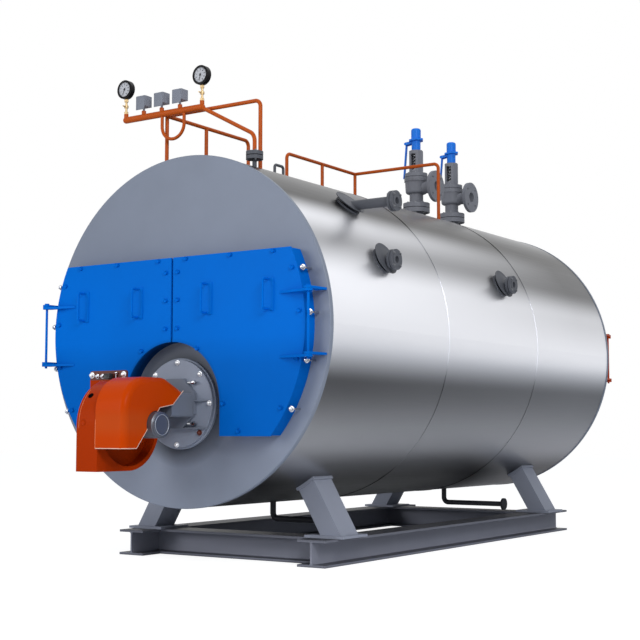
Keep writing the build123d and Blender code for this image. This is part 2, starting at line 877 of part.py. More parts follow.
def nozzle_collar(reach, rise_share):
    """Round plate bent to the drum, with the pipe through it."""
    angle = math.degrees(math.asin(rise_share))
    disc = Pos(cladding_radius, 0, 0) * Rot(0, 90, 0) * Cylinder(nozzle_collar_radius, drum_radius / 2)
    disc = Pos(0, front_y + reach, axis_height) * Rot(0, -angle, 0) * disc
    disc &= drum_body(cladding_radius + nozzle_collar_thickness)
    disc -= jacket_form()
    pipe = rod_x(nozzle_pipe_radius, (0, 2 * drum_radius), front_y + reach, axis_height + rise_share * cladding_radius)
    return disc - pipe


# Safety valves
def valve_inlet():
    """Stub, flange pair, neck and bowl of the body, as one turned outline."""
    gap = valve_base_z + valve_flange_thickness
    points = [(0, axis_height), (valve_stub_radius, axis_height), (valve_stub_radius, valve_base_z),
              (valve_flange_radius, valve_base_z), (valve_flange_radius, gap), (valve_gasket_radius, gap),
              (valve_gasket_radius, gap + flange_gap), (valve_flange_radius, gap + flange_gap),
              (valve_flange_radius, valve_neck_z), (valve_stub_radius + valve_flange_hub, valve_neck_z),
              (valve_stub_radius, valve_neck_z + valve_flange_hub), (valve_stub_radius, valve_body_z),
              (valve_body_radius - valve_body_taper, valve_body_z), (valve_body_radius, valve_disc_z),
              (0, valve_disc_z)]
    face = make_face(Polyline(*points, close=True))
    corner = face.vertices().sort_by_distance((valve_body_radius - valve_body_taper, valve_body_z))[0]
    return revolve(Plane.XZ * fillet(corner, valve_body_round), Axis.Z)


def valve_outlet():
    """Outlet pipe with its hub and flange, turned about X from the valve's axis."""
    back = valve_outlet_reach - valve_outlet_flange_thickness
    wide = valve_outlet_pipe_radius + valve_outlet_hub
    points = [(0, 0), (valve_outlet_pipe_radius, 0), (valve_outlet_pipe_radius, back - valve_outlet_hub),
              (wide, back), (valve_outlet_flange_radius, back), (valve_outlet_flange_radius, valve_outlet_reach),
              (valve_outlet_bore, valve_outlet_reach),
              (valve_outlet_bore, valve_outlet_reach - valve_outlet_depth),
              (0, valve_outlet_reach - valve_outlet_depth)]
    drill = Pos(0, 0, back - overrun) * extrude(Sketch() + [
        place * Circle(valve_bolt_hole)
        for place in PolarLocations(valve_bolt_circle_radius, valve_bolt_count, start_angle=180 / valve_bolt_count)
    ], amount=valve_outlet_flange_thickness + 2 * overrun)
    return Pos(0, 0, valve_outlet_z) * Rot(0, 90, 0) * (turned(points) - drill)


def valve_body(reach):
    """Cast body of one valve, standing on the drum."""
    hollow = rod_x(valve_outlet_bore, (valve_outlet_reach - valve_outlet_depth, valve_outlet_reach), 0, valve_outlet_z)
    casting = valve_inlet() - hollow + valve_outlet()
    return Pos(0, front_y + reach, 0) * casting - jacket_form()


def valve_bonnet(reach):
    """Flange pair and eight-sided bonnet with its spring windows."""
    gap = valve_disc_z + valve_lower_disc
    waist = valve_gasket_radius
    upper = valve_disc_z + valve_lower_disc + valve_disc_gap
    rim = valve_body_radius + valve_disc_step
    points = [(0, valve_disc_z), (rim, valve_disc_z), (rim, gap), (waist, gap), (waist, upper),
              (valve_body_radius, upper), (valve_body_radius, valve_bonnet_z), (0, valve_bonnet_z)]
    eight = RegularPolygon(valve_bonnet_width / 2, valve_bonnet_sides, major_radius=False)
    tube = extrude(eight, amount=valve_bonnet_height)
    tube = chamfer(tube.edges().group_by(Axis.Z)[-1], valve_bonnet_edge)
    tube = Pos(0, 0, valve_bonnet_z) * tube
    inside = valve_bonnet_width / 2 - valve_bonnet_wall
    tube -= rod_z(inside, 0, 0, (valve_bonnet_z, valve_post_z - valve_bonnet_wall))
    half = valve_window_width / 2
    tube -= block((-half, half), (-valve_bonnet_width, valve_bonnet_width),
                  (valve_bonnet_z + valve_window_margin, valve_post_z - valve_window_margin))
    return Pos(0, front_y + reach, 0) * (turned(points) + tube)


def valve_spring(reach):
    """Spindle with its two spring plates and setting screw, and the coil spring between them."""
    top = valve_post_z - valve_bonnet_wall
    upper = top - spring_screw_length - spring_plate_thickness
    lower = valve_bonnet_z + spring_plate_thickness
    spindle = rod_z(spindle_radius, 0, 0, (valve_bonnet_z, top))
    spindle += rod_z(spring_plate_radius, 0, 0, (valve_bonnet_z, lower))
    spindle += rod_z(spring_plate_radius, 0, 0, (upper, upper + spring_plate_thickness))
    spindle += rod_z(spring_screw_radius, 0, 0, (upper, top))
    height = upper - lower - 2 * (spring_wire_radius + spring_seat)
    path = Helix(height / spring_turns, height, spring_radius)
    coil = sweep(Plane(origin=path @ 0, z_dir=path % 0) * Circle(spring_wire_radius), path)
    coil = Pos(0, 0, lower + spring_wire_radius + spring_seat) * coil
    at = Pos(0, front_y + reach, 0)
    return Compound([at * spindle, at * coil])


def lever_ear(near, far):
    """Ear that carries the lever's pin, between two places along Y."""
    eye = Pos(-lever_pivot_offset, 0) * Circle(lever_width / 2)
    root = Pos(-valve_post_radius, lever_pivot_drop / 2) * Rectangle(valve_post_radius, lever_pivot_drop)
    outline = make_hull((eye + root).edges())
    return slab_y(outline, sorted((near, far)), lever_pivot_z)


def valve_cap(reach):
    """Post, tilted yoke with two ears and their pin, and a round cap."""
    top = valve_yoke_z + valve_cap_height
    neck = valve_yoke_z + valve_yoke_thickness + valve_cap_groove
    points = [(0, valve_post_z), (valve_post_radius, valve_post_z), (valve_post_radius, neck),
              (valve_cap_radius, neck), (valve_cap_radius, top), (0, top)]
    piece = turned(points)
    piece = fillet(piece.edges().filter_by(GeomType.CIRCLE).group_by(Axis.Z)[-1], valve_cap_round)
    yoke = extrude(RegularPolygon(valve_yoke_radius, valve_yoke_sides), amount=valve_yoke_thickness)
    piece += Pos(0, 0, valve_yoke_z) * Rot(0, -valve_yoke_tilt, 0) * yoke
    inner = lever_width / 2 + lever_ear_gap
    outer = inner + lever_ear_thickness
    for side in (-1, 1):
        piece += lever_ear(side * inner, side * outer)
    piece += rod_y(lever_pin_radius, -lever_pivot_offset, (-outer, outer), lever_pivot_z)
    return Pos(0, front_y + reach, 0) * piece


def valve_lever(reach):
    """Flat bar that hangs from the yoke's pin beside the bonnet."""
    bar = Pos(0, 0, -lever_length / 2) * Box(lever_thickness, lever_width, lever_length)
    eye = Rot(90, 0, 0) * Cylinder(lever_width / 2, lever_width)
    lever = Rot(0, lever_rake, 0) * bar + eye
    lever -= Rot(90, 0, 0) * Cylinder(lever_pin_radius + pin_running_gap, 2 * lever_width)
    return Pos(-lever_pivot_offset, front_y + reach, lever_pivot_z) * lever


# Drains
def drain(reach, end_x):
    """Pipe down from the drum's lowest line, turned towards the right side."""
    y = front_y + reach
    low = axis_height - cladding_radius - drain_drop
    points = [(0, y, axis_height - cladding_radius + overrun), (0, y, low), (end_x, y, low)]
    return bent_pipe(drain_radius, points, 2 * drain_radius) - jacket_form()


def drain_flange(reach, end_x):
    """Blank flange at a drain's end."""
    z = axis_height - cladding_radius - drain_drop
    return rod_x(drain_flange_radius, (end_x - drain_flange_thickness, end_x), front_y + reach, z)


def frame_nodes():
    """Skid, legs and drum."""
    nodes = {"left_side_beam": side_beam(-1), "right_side_beam": side_beam(1),
             "front_cross_beam": cross_beam(0), "rear_cross_beam": cross_beam(rear_leg_y)}
    for end, y in (("front", 0), ("rear", rear_leg_y)):
        for name, side in (("left", -1), ("right", 1)):
            nodes[f"{end}_{name}_leg"] = leg(side, y) + saddle(side, y)
    nodes["front_end_plate"] = end_plate((front_y, front_y + end_plate_thickness), 0)
    nodes["rear_end_plate"] = end_plate((rear_y - end_plate_thickness, rear_y), -1)
    nodes["pressure_shell"] = pressure_shell()
    for index, name in enumerate(("front", "middle", "rear")):
        nodes[f"{name}_cladding"] = cladding_section(index)
    return nodes


def door_nodes():
    """Smoke boxes with their gaskets, hinges and doors, at both ends."""
    nodes = {}
    for end, facing in (("front", -1), ("rear", 1)):
        arch = facing < 0
        nodes[f"{end}_smoke_box"] = smoke_box(facing, arch)
        nodes[f"{end}_door_gasket"] = gasket(facing, arch)
        nodes[f"{end}_door_hinges"] = Compound([hinge_bracket(side, facing) for side in (-1, 1)])
        for name, side in (("left", -1), ("right", 1)):
            nodes[f"{end}_{name}_door"] = door(side, facing, arch)
    return nodes


def burner_nodes():
    """Round plate in the arch, and the burner on it."""
    return {"burner_ring": burner_disc(burner_ring_radius, front_y, burner_ring_thickness),
            "burner_plate": burner_disc(burner_plate_radius, front_y - burner_ring_thickness, burner_plate_thickness),
            "burner_head": burner_head(), "fan_housing": fan_housing(), "fan_motor": motor(),
            "motor_hood": hood(), "actuator_bracket": actuator_bracket()}


def top_nodes():
    """Rails, manifold with its fittings, tapping and lug."""
    return {"gauge_manifold": manifold(), "manifold_support_pipe": front_cross_bar(),
            "steam_sensing_pipe": sensing_pipe(), "steam_tapping": steam_tapping(),
            "pressure_gauges": Compound([gauge(x) for x in gauge_places()]),
            "gauge_cocks": Compound([gauge_cock(x) for x in gauge_places()]),
            "pressure_switches": Compound([pressure_switch(x) for x in switch_places()]),
            "front_guard_rail": left_rail(), "rear_guard_rail": rear_rail(), "lifting_lug": lifting_lug()}


def valve_nodes():
    """Nozzles, safety valves and drains."""
    nodes = {}
    places = {"upper_nozzle": (upper_nozzle_reach, upper_nozzle_rise_share, upper_nozzle_length),
              "front_nozzle": (front_nozzle_reach, side_nozzle_rise_share, side_nozzle_length),
              "rear_nozzle": (rear_nozzle_reach, side_nozzle_rise_share, side_nozzle_length)}
    for name, (reach, rise_share, length) in places.items():
        nodes[name] = side_nozzle(reach, rise_share, length) + nozzle_collar(reach, rise_share)
    for name, reach in zip(("front", "rear"), valve_reaches):
        nodes[f"{name}_valve_body"] = valve_body(reach)
        nodes[f"{name}_valve_bonnet"] = valve_bonnet(reach)
        nodes[f"{name}_valve_spring"] = valve_spring(reach)
        nodes[f"{name}_valve_cap"] = valve_cap(reach)
        nodes[f"{name}_valve_lever"] = valve_lever(reach)
    nodes["front_drain"] = drain(front_drain_reach, front_drain_end)
    nodes["rear_drain"] = drain(rear_drain_reach, rear_drain_end) + drain_flange(rear_drain_reach, rear_drain_end)
    return nodes


os.makedirs("parts", exist_ok=True)
for group in (frame_nodes(), door_nodes(), burner_nodes(), top_nodes(), valve_nodes()):
    for node_name, shape in group.items():
        export_step(shape, f"parts/{node_name}.step")
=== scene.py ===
# %% [markdown]
# # An industrial boiler, dressed for its portrait
# The solids of the boiler come ready made, in metres: a drum on a skid, doors, a burner, valves and
# pipes. This lesson gives each of them its finish, adds the small fittings that were too fine for the
# solids, and lights the whole on a pale floor.

# %% Load the solids
import json
import math

import bpy
from mathutils import Matrix, Vector


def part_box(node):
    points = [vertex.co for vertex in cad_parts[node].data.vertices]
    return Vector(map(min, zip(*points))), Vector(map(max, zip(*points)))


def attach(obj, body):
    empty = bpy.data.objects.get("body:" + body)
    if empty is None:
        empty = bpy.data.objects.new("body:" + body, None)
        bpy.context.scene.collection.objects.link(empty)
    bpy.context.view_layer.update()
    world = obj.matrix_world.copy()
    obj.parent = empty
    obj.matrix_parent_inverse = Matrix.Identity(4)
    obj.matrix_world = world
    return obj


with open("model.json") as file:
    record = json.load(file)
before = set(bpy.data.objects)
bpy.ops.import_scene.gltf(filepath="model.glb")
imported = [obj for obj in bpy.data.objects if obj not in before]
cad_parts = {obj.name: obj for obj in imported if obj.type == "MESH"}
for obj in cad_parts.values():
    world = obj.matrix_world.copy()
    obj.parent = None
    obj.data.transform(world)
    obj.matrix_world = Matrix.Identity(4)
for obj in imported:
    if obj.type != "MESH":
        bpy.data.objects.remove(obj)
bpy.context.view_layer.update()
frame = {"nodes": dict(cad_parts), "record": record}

# %% [markdown]
# ## Where the boiler's main pieces are
# Every later step needs the drum's axis, its radius and its two ends. They are read from the end plates,
# so that nothing has to be typed twice. What repeats at both ends loops over `ends`, which gives each end
# its name, the place of its face along the boiler and the way that the face looks.

# %% Measure the drum
end_low, end_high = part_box("front_end_plate")
drum_radius = (end_high.x - end_low.x) / 2
axis_height = (end_high.z + end_low.z) / 2
front_face = end_low.y
rear_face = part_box("rear_end_plate")[1].y
ends = (("front", front_face, -1), ("rear", rear_face, 1))
print("drum radius", round(drum_radius, 3), "axis height", round(axis_height, 3))

# %% [markdown]
# ## The camera
# A long lens from low in front keeps the drum's rim round and the skid flat. It stands lower than the
# drum's axis and looks slightly up.

# %% Place the camera
lens_length = 72.61
film_width = 36
camera_place = (5.148, -6.816, 0.824)
look_up = 4.903
look_left = 33.697
camera_data = bpy.data.cameras.new("portrait_camera")
camera_data.lens = lens_length
camera_data.sensor_width = film_width
camera = bpy.data.objects.new("portrait_camera", camera_data)
bpy.context.scene.collection.objects.link(camera)
camera.location = camera_place
camera.rotation_euler = (math.radians(90 + look_up), 0, math.radians(look_left))
bpy.context.scene.camera = camera
print("camera at", camera_place, "with a lens of", lens_length)

# %% [markdown]
# ## The studio
# Machines like this are shown on white. The world is white only for the camera, for reflections and for
# what is seen through something clear. For all else it is a dim and slightly blue lamp, so the background
# is clean while the boiler is lit at a plain level.

# %% Make the white world
white_strength = 1.0
fill_colour = (0.88, 0.93, 1, 1)
fill_strength = 0.42
world = bpy.data.worlds.new("studio")
bpy.context.scene.world = world
world.use_nodes = True
world_nodes = world.node_tree.nodes
world_links = world.node_tree.links
world_nodes.clear()
kind_of_ray = world_nodes.new("ShaderNodeLightPath")
camera_or_gloss = world_nodes.new("ShaderNodeMath")
camera_or_gloss.operation = "MAXIMUM"
or_clear = world_nodes.new("ShaderNodeMath")
or_clear.operation = "MAXIMUM"
backdrop = world_nodes.new("ShaderNodeBackground")
backdrop.inputs["Color"].default_value = (1, 1, 1, 1)
backdrop.inputs["Strength"].default_value = white_strength
fill = world_nodes.new("ShaderNodeBackground")
fill.inputs["Color"].default_value = fill_colour
fill.inputs["Strength"].default_value = fill_strength
blend = world_nodes.new("ShaderNodeMixShader")
world_out = world_nodes.new("ShaderNodeOutputWorld")
world_links.new(kind_of_ray.outputs["Is Camera Ray"], camera_or_gloss.inputs[0])
world_links.new(kind_of_ray.outputs["Is Glossy Ray"], camera_or_gloss.inputs[1])
world_links.new(camera_or_gloss.outputs[0], or_clear.inputs[0])
world_links.new(kind_of_ray.outputs["Is Transmission Ray"], or_clear.inputs[1])
world_links.new(or_clear.outputs[0], blend.inputs["Fac"])
world_links.new(fill.outputs[0], blend.inputs[1])
world_links.new(backdrop.outputs[0], blend.inputs[2])
world_links.new(blend.outputs[0], world_out.inputs["Surface"])
bpy.context.scene.view_settings.view_transform = "Standard"
print("a white world that lights at", fill_strength)

# %% [markdown]
# ## Three soft lamps
# Broad square lamps shape the painted plates with soft edges. One stands off the right front corner, one
# on the left before the burner and one hangs above. `to_track_quat` aims a lamp, which shines along its
# own -Z.


# %% Hang the lamps
def soft_lamp(name, place, aim, size, power):
    """A square area lamp that looks at a spot."""
    data = bpy.data.lights.new(name, "AREA")
    data.shape = "SQUARE"
    data.size = size
    data.energy = power
    lamp = bpy.data.objects.new(name, data)
    bpy.context.scene.collection.objects.link(lamp)
    lamp.location = place
    lamp.rotation_euler = (Vector(aim) - Vector(place)).to_track_quat("-Z", "Y").to_euler()
    print(name, "of", power, "watts")


soft_lamp("key_lamp", place=(6.5, -5.0, 5.2), aim=(0, 0.5, 1.2), size=3.0, power=330)
soft_lamp("front_lamp", place=(-3.5, -8.0, 3.4), aim=(0, -0.6, 1.4), size=4.0, power=240)
soft_lamp("top_lamp", place=(1.0, 2.0, 7.5), aim=(0, 1.5, 1.5), size=4.0, power=90)

# %% [markdown]
# ## The floor
# A pale floor carries the shadow of the skid. For the camera it glows a little, so it melts into the
# white world and only the shadow shows.

# %% Lay the floor
floor_size = 60
floor_middle = (0, 1.5, -0.001)
floor_colour = (0.9, 0.91, 0.93, 1)
glow_strength = 1.25
glow_share = 0.72
floor_material = bpy.data.materials.new("pale_floor")
floor_material.use_nodes = True
floor_nodes = floor_material.node_tree.nodes
floor_links = floor_material.node_tree.links
floor_nodes.clear()
floor_path = floor_nodes.new("ShaderNodeLightPath")
matt = floor_nodes.new("ShaderNodeBsdfDiffuse")
matt.inputs["Color"].default_value = floor_colour
glow = floor_nodes.new("ShaderNodeEmission")
glow.inputs["Color"].default_value = (1, 1, 1, 1)
glow.inputs["Strength"].default_value = glow_strength
share = floor_nodes.new("ShaderNodeMath")
share.operation = "MULTIPLY"
share.inputs[1].default_value = glow_share
floor_mix = floor_nodes.new("ShaderNodeMixShader")
floor_out = floor_nodes.new("ShaderNodeOutputMaterial")
floor_links.new(floor_path.outputs["Is Camera Ray"], share.inputs[0])
floor_links.new(share.outputs[0], floor_mix.inputs["Fac"])
floor_links.new(matt.outputs[0], floor_mix.inputs[1])
floor_links.new(glow.outputs[0], floor_mix.inputs[2])
floor_links.new(floor_mix.outputs[0], floor_out.inputs["Surface"])
bpy.ops.object.select_all(action="DESELECT")
bpy.ops.mesh.primitive_plane_add(size=floor_size, location=floor_middle)
floor = bpy.context.object
floor.name = "pale_floor"
floor.data.materials.append(floor_material)
print("floor of", floor_size, "m")

# %% [markdown]
# ## Paint
# Factory paint is one colour, yet never flat: it gathers a little dust, its film is uneven like orange
# peel, and its gloss changes from patch to patch. A noise pattern on the object's own coordinates drifts
# the colour and the gloss, and a finer one gives the film its bump. Every finish is kept by its name.

# %% A helper for painted and cast finishes
finishes = {}
patch_edges = (0.3, 0.7)
gloss_spread = 0.15
film_depth = 0.002


def finish(name, colour, roughness, drift=0.06, metal=0.0, grain=60.0, bump=0.06, patch=2.2, shine=0.3):
    """Mix a finish whose colour and gloss drift in patches and whose film is a little uneven."""
    material = bpy.data.materials.new(name)
    material.use_nodes = True
    nodes = material.node_tree.nodes
    links = material.node_tree.links
    surface = nodes["Principled BSDF"]
    surface.inputs["Metallic"].default_value = metal
    surface.inputs["Specular IOR Level"].default_value = shine
    place = nodes.new("ShaderNodeTexCoord")
    patches = nodes.new("ShaderNodeTexNoise")
    patches.inputs["Scale"].default_value = patch
    patches.inputs["Detail"].default_value = 6
    tone = nodes.new("ShaderNodeValToRGB")
    tone.color_ramp.elements[0].position = patch_edges[0]
    tone.color_ramp.elements[1].position = patch_edges[1]
    tone.color_ramp.elements[0].color = [max(c * (1 - drift), 0) for c in colour] + [1]
    tone.color_ramp.elements[1].color = [min(c * (1 + drift), 1) for c in colour] + [1]
    gloss = nodes.new("ShaderNodeMapRange")
    gloss.inputs["To Min"].default_value = roughness * (1 - gloss_spread)
    gloss.inputs["To Max"].default_value = roughness * (1 + gloss_spread)
    fine = nodes.new("ShaderNodeTexNoise")
    fine.inputs["Scale"].default_value = grain
    fine.inputs["Detail"].default_value = 3
    film = nodes.new("ShaderNodeBump")
    film.inputs["Strength"].default_value = bump
    film.inputs["Distance"].default_value = film_depth
    links.new(place.outputs["Object"], patches.inputs["Vector"])
    links.new(place.outputs["Object"], fine.inputs["Vector"])
    links.new(patches.outputs["Fac"], tone.inputs["Fac"])
    links.new(tone.outputs["Color"], surface.inputs["Base Color"])
    links.new(patches.outputs["Fac"], gloss.inputs["Value"])
    links.new(gloss.outputs["Result"], surface.inputs["Roughness"])
    links.new(fine.outputs["Fac"], film.inputs["Height"])
    links.new(film.outputs["Normal"], surface.inputs["Normal"])
    finishes[name] = material


# %% [markdown]
# ## The finishes of this boiler
# The boiler is orange, blue, grey and bare metal. Each finish is one colour and one roughness, with more
# grain on the castings, and metals mix in some reflection.

# %% Mix the paints
finish("skid_paint", (0.24, 0.25, 0.305), 0.5, shine=0.15)
# The skid's grey painted lighter for the legs, as painted light because they are lit more.
finish("painted_lit_leg_grey", (0.27, 0.29, 0.355), 0.45, shine=0.15)
finish("end_plate_paint", (0.215, 0.245, 0.31), 0.4, shine=0.15)
finish("shell_steel", (0.12, 0.12, 0.12), 0.6, metal=0.8)
finish("door_paint", (0.0, 0.138, 0.60), 0.4, drift=0.03, shine=0.02)
finish("orange_paint", (0.49, 0.060, 0.006), 0.3, shine=0.04)
finish("scroll_orange", (0.37, 0.031, 0.001), 0.3, shine=0.03)
finish("pipe_orange", (0.45, 0.078, 0.006), 0.35, shine=0.12)
# A pale orange that paints highlights on the beads where the hood and the scroll lap over.
finish("painted_highlight_orange", (0.80, 0.24, 0.10), 0.3)
finish("gasket_rope", (0.015, 0.015, 0.018), 0.9)
finish("burner_grey", (0.25, 0.28, 0.35), 0.45, shine=0.15)
finish("burner_dark", (0.16, 0.18, 0.225), 0.45, shine=0.15)
finish("motor_grey", (0.13, 0.14, 0.165), 0.4, metal=0.6)
finish("bracket_brown", (0.10, 0.02, 0.012), 0.45)
finish("gauge_case", (0.006, 0.006, 0.007), 0.35, shine=0.1)
finish("gauge_brass", (0.52, 0.38, 0.20), 0.4, metal=0.7)
finish("switch_grey", (0.21, 0.225, 0.27), 0.45, shine=0.2)
finish("valve_iron", (0.085, 0.09, 0.105), 0.5, grain=140, bump=0.15, shine=0.2)
finish("cast_iron", (0.19, 0.197, 0.225), 0.5, grain=140, bump=0.15, shine=0.2)
finish("valve_blue", (0.015, 0.185, 0.74), 0.4, shine=0.15)
finish("drain_black", (0.030, 0.031, 0.038), 0.5)
finish("spring_steel", (0.35, 0.36, 0.38), 0.3, metal=1.0)
finish("bright_zinc", (0.85, 0.86, 0.88), 0.35, metal=0.6)
finish("chrome", (0.55, 0.56, 0.60), 0.15, metal=1.0)
finish("dark_zinc", (0.16, 0.165, 0.18), 0.4, metal=0.7)
finish("dark_fitting", (0.03, 0.03, 0.034), 0.45)
finish("switch_lid", (0.18, 0.195, 0.235), 0.45, shine=0.2)
finish("dial_white", (0.46, 0.47, 0.50), 0.5, drift=0.02, shine=0.1)
finish("dial_ink", (0.01, 0.01, 0.01), 0.6)
finish("pale_steel", (0.42, 0.44, 0.48), 0.35, metal=0.5)
# A pale orange-white that paints the highlight on the hood's lip.
finish("painted_highlight_pale", (0.72, 0.50, 0.40), 0.35)
# A near black that paints the shade inside a hole.
finish("painted_hole_shade", (0.003, 0.003, 0.004), 0.8, shine=0)
finish("tube_steel", (0.16, 0.13, 0.115), 0.6, metal=0.5, drift=0.3, patch=12)
print("finishes mixed", len(finishes))

# %% [markdown]
# ## Light and shade over the large forms
# A big plate isn't one tone: the skid darkens to the floor and on top, the end plate is dark round the
# burner, and the hood is deepest at its foot and on top. Many small lamps could do this, but they would
# light everything else too. So a finish is multiplied by a short ramp of tones, which follows the height,
# the way that a face looks or the distance from a point. The Mix node keeps its colour sockets behind
# those for numbers and vectors.

# %% Helpers that shade a finish
colour_a, colour_b, colour_out = 6, 7, 2


def fill_ramp(ramp, places, colours):
    """Give a colour ramp a stop at each place, then colour them in order."""
    stops = ramp.elements
    while len(stops) < len(places):
        stops.new(0.5)
    for index, place in enumerate(places):
        stops[index].position = place
    for index, colour in enumerate(colours):
        stops[index].color = (*colour, 1)


def shade(material, source, low, high, tones):
    """Multiply a finish by greys or colours, spread evenly, that follow one value between two limits."""
    nodes = material.node_tree.nodes
    links = material.node_tree.links
    surface = nodes["Principled BSDF"]
    colour = surface.inputs["Base Color"].links[0].from_socket
    place = nodes.new("ShaderNodeTexCoord")
    if source in ("height", "facing up"):
        parts = nodes.new("ShaderNodeSeparateXYZ")
        links.new(place.outputs["Object" if source == "height" else "Normal"], parts.inputs[0])
        value = parts.outputs["Z"]
    else:
        reach = nodes.new("ShaderNodeVectorMath")
        reach.operation = "DISTANCE"
        reach.inputs[1].default_value = source
        links.new(place.outputs["Object"], reach.inputs[0])
        value = reach.outputs["Value"]
    limits = nodes.new("ShaderNodeMapRange")
    limits.inputs["From Min"].default_value = low
    limits.inputs["From Max"].default_value = high
    ramp = nodes.new("ShaderNodeValToRGB")
    places = [index / (len(tones) - 1) for index in range(len(tones))]
    fill_ramp(ramp.color_ramp, places, [tone if isinstance(tone, tuple) else (tone,) * 3 for tone in tones])
    product = nodes.new("ShaderNodeMix")
    product.data_type = "RGBA"
    product.blend_type = "MULTIPLY"
    product.inputs["Factor"].default_value = 1
    links.new(value, limits.inputs["Value"])
    links.new(limits.outputs["Result"], ramp.inputs["Fac"])
    links.new(colour, product.inputs[colour_a])
    links.new(ramp.outputs["Color"], product.inputs[colour_b])
    links.new(product.outputs[colour_out], surface.inputs["Base Color"])


# %% Shade the skid and the end plates
beam_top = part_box("right_side_beam")[1].z
drum_foot = axis_height - drum_radius
drum_crown = axis_height + drum_radius
burner_low, burner_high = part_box("burner_plate")
burner_z = (burner_low.z + burner_high.z) / 2
burner_centre = (0, front_face, burner_z)
skid_tones = (0.5, 1.15, 1.1, 1.0, 0.92, 0.85, 0.5)
shade(finishes["skid_paint"], "facing up", low=0.8, high=0.98, tones=(1, 0.35))
shade(finishes["end_plate_paint"], "height", low=drum_foot, high=drum_crown, tones=(1, 1, 0.92, 0.88))
shade(finishes["end_plate_paint"], burner_centre, low=0.29, high=0.40, tones=(0.34, 0.62, 1))
shade(finishes["skid_paint"], "height", low=0, high=beam_top, tones=skid_tones)
print("skid and end plates shaded, burner at", round(burner_z, 3))

# %% Shade the hood and the doors
hood_low, hood_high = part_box("motor_hood")
deep, pale = (1.04, 0.80, 0.10), (1, 1, 1)
hood_tones = (deep, deep, pale, pale, deep, deep, deep, deep)
behind_arch = (0, front_face + 0.5, burner_z)
door_foot = axis_height - 0.40
door_head = axis_height + 0.45
door_tones = (0.78, 0.82, 1, 1, 0.98, 0.94)
shade(finishes["orange_paint"], "height", low=hood_low.z, high=hood_high.z, tones=hood_tones)
shade(finishes["door_paint"], behind_arch, low=0.66, high=0.725, tones=(0.2, 0.4, 1))
shade(finishes["door_paint"], "height", low=door_foot, high=door_head, tones=door_tones)
print("hood and doors shaded")

# %% [markdown]
# ## The stainless jacket
# The sheets were rolled to a circle and brushed along the drum. Their sheen is painted into the colour as long
# soft bands of painted reflection and painted shade: dark under the belly, a painted line of light from the
# floor, a broad painted light side and a dark crown. The bands follow the angle up from the drum's axis, alike
# on both sides, and fade from a front set to a rear one.
# A noise that is stretched along the drum adds the brushing.

# %% Lay out the bands
# Each painted band has its angle in degrees, then its painted tone at the front and at the rear.
painted_reflection_bands = {
    "belly": (-90, 0.02, 0.02),
    "shade above the belly": (-60, 0.03, 0.03),
    "line of light from the floor": (-44, 0.50, 0.45),
    "grey side": (-18, 0.10, 0.22),
    "start of the broad light": (-5, 0.85, 0.95),
    "end of the broad light": (15, 0.95, 0.65),
    "grey shoulder": (28, 0.45, 0.10),
    "narrow light": (37, 0.75, 0.08),
    "dark crown": (48, 0.02, 0.02),
    "top": (70, 0.05, 0.25),
}
steel_tint = (0.97, 0.98, 1.03)


def painted_reflection_ramp(nodes, column):
    """A ramp of painted reflection and shade tones from the belly to the crown, from the front tones or the
    rear ones.
    """
    ramp = nodes.new("ShaderNodeValToRGB")
    ramp.color_ramp.interpolation = "EASE"
    places = [(band[0] + 90) / 180 for band in painted_reflection_bands.values()]
    colours = [[band[column] * part for part in steel_tint] for band in painted_reflection_bands.values()]
    fill_ramp(ramp.color_ramp, places, colours)
    return ramp


print("jacket bands", len(painted_reflection_bands))

# %% Roll out the stainless sheet
sheet_metal = 0.85
fade_start = front_face + 0.3 * drum_radius
fade_end = front_face + 3.4 * drum_radius
jacket = bpy.data.materials.new("cladding_sheet")
jacket.use_nodes = True
nodes = jacket.node_tree.nodes
links = jacket.node_tree.links
surface = nodes["Principled BSDF"]
surface.inputs["Metallic"].default_value = sheet_metal
place = nodes.new("ShaderNodeTexCoord")
parts = nodes.new("ShaderNodeSeparateXYZ")
height = nodes.new("ShaderNodeMath")
height.operation = "SUBTRACT"
height.inputs[1].default_value = axis_height
across = nodes.new("ShaderNodeMath")
across.operation = "ABSOLUTE"
angle = nodes.new("ShaderNodeMath")
angle.operation = "ARCTAN2"
turn = nodes.new("ShaderNodeMapRange")
turn.inputs["From Min"].default_value = -math.pi / 2
turn.inputs["From Max"].default_value = math.pi / 2
# The base colour is the painted reflection and shade of the bands, fading from front to rear.
front_painted_reflections = painted_reflection_ramp(nodes, 1)
rear_painted_reflections = painted_reflection_ramp(nodes, 2)
along = nodes.new("ShaderNodeMapRange")
along.inputs["From Min"].default_value = fade_start
along.inputs["From Max"].default_value = fade_end
bands = nodes.new("ShaderNodeMix")
bands.data_type = "RGBA"
links.new(place.outputs["Object"], parts.inputs[0])
links.new(parts.outputs["Z"], height.inputs[0])
links.new(height.outputs[0], angle.inputs[0])
links.new(parts.outputs["X"], across.inputs[0])
links.new(across.outputs[0], angle.inputs[1])
links.new(angle.outputs[0], turn.inputs["Value"])
links.new(turn.outputs["Result"], front_painted_reflections.inputs["Fac"])
links.new(turn.outputs["Result"], rear_painted_reflections.inputs["Fac"])
links.new(parts.outputs["Y"], along.inputs["Value"])
links.new(along.outputs["Result"], bands.inputs["Factor"])
links.new(front_painted_reflections.outputs["Color"], bands.inputs[colour_a])
links.new(rear_painted_reflections.outputs["Color"], bands.inputs[colour_b])
links.new(bands.outputs[colour_out], surface.inputs["Base Color"])
finishes["cladding_sheet"] = jacket
print("bands fade from", round(fade_start, 2), "to", round(fade_end, 2))

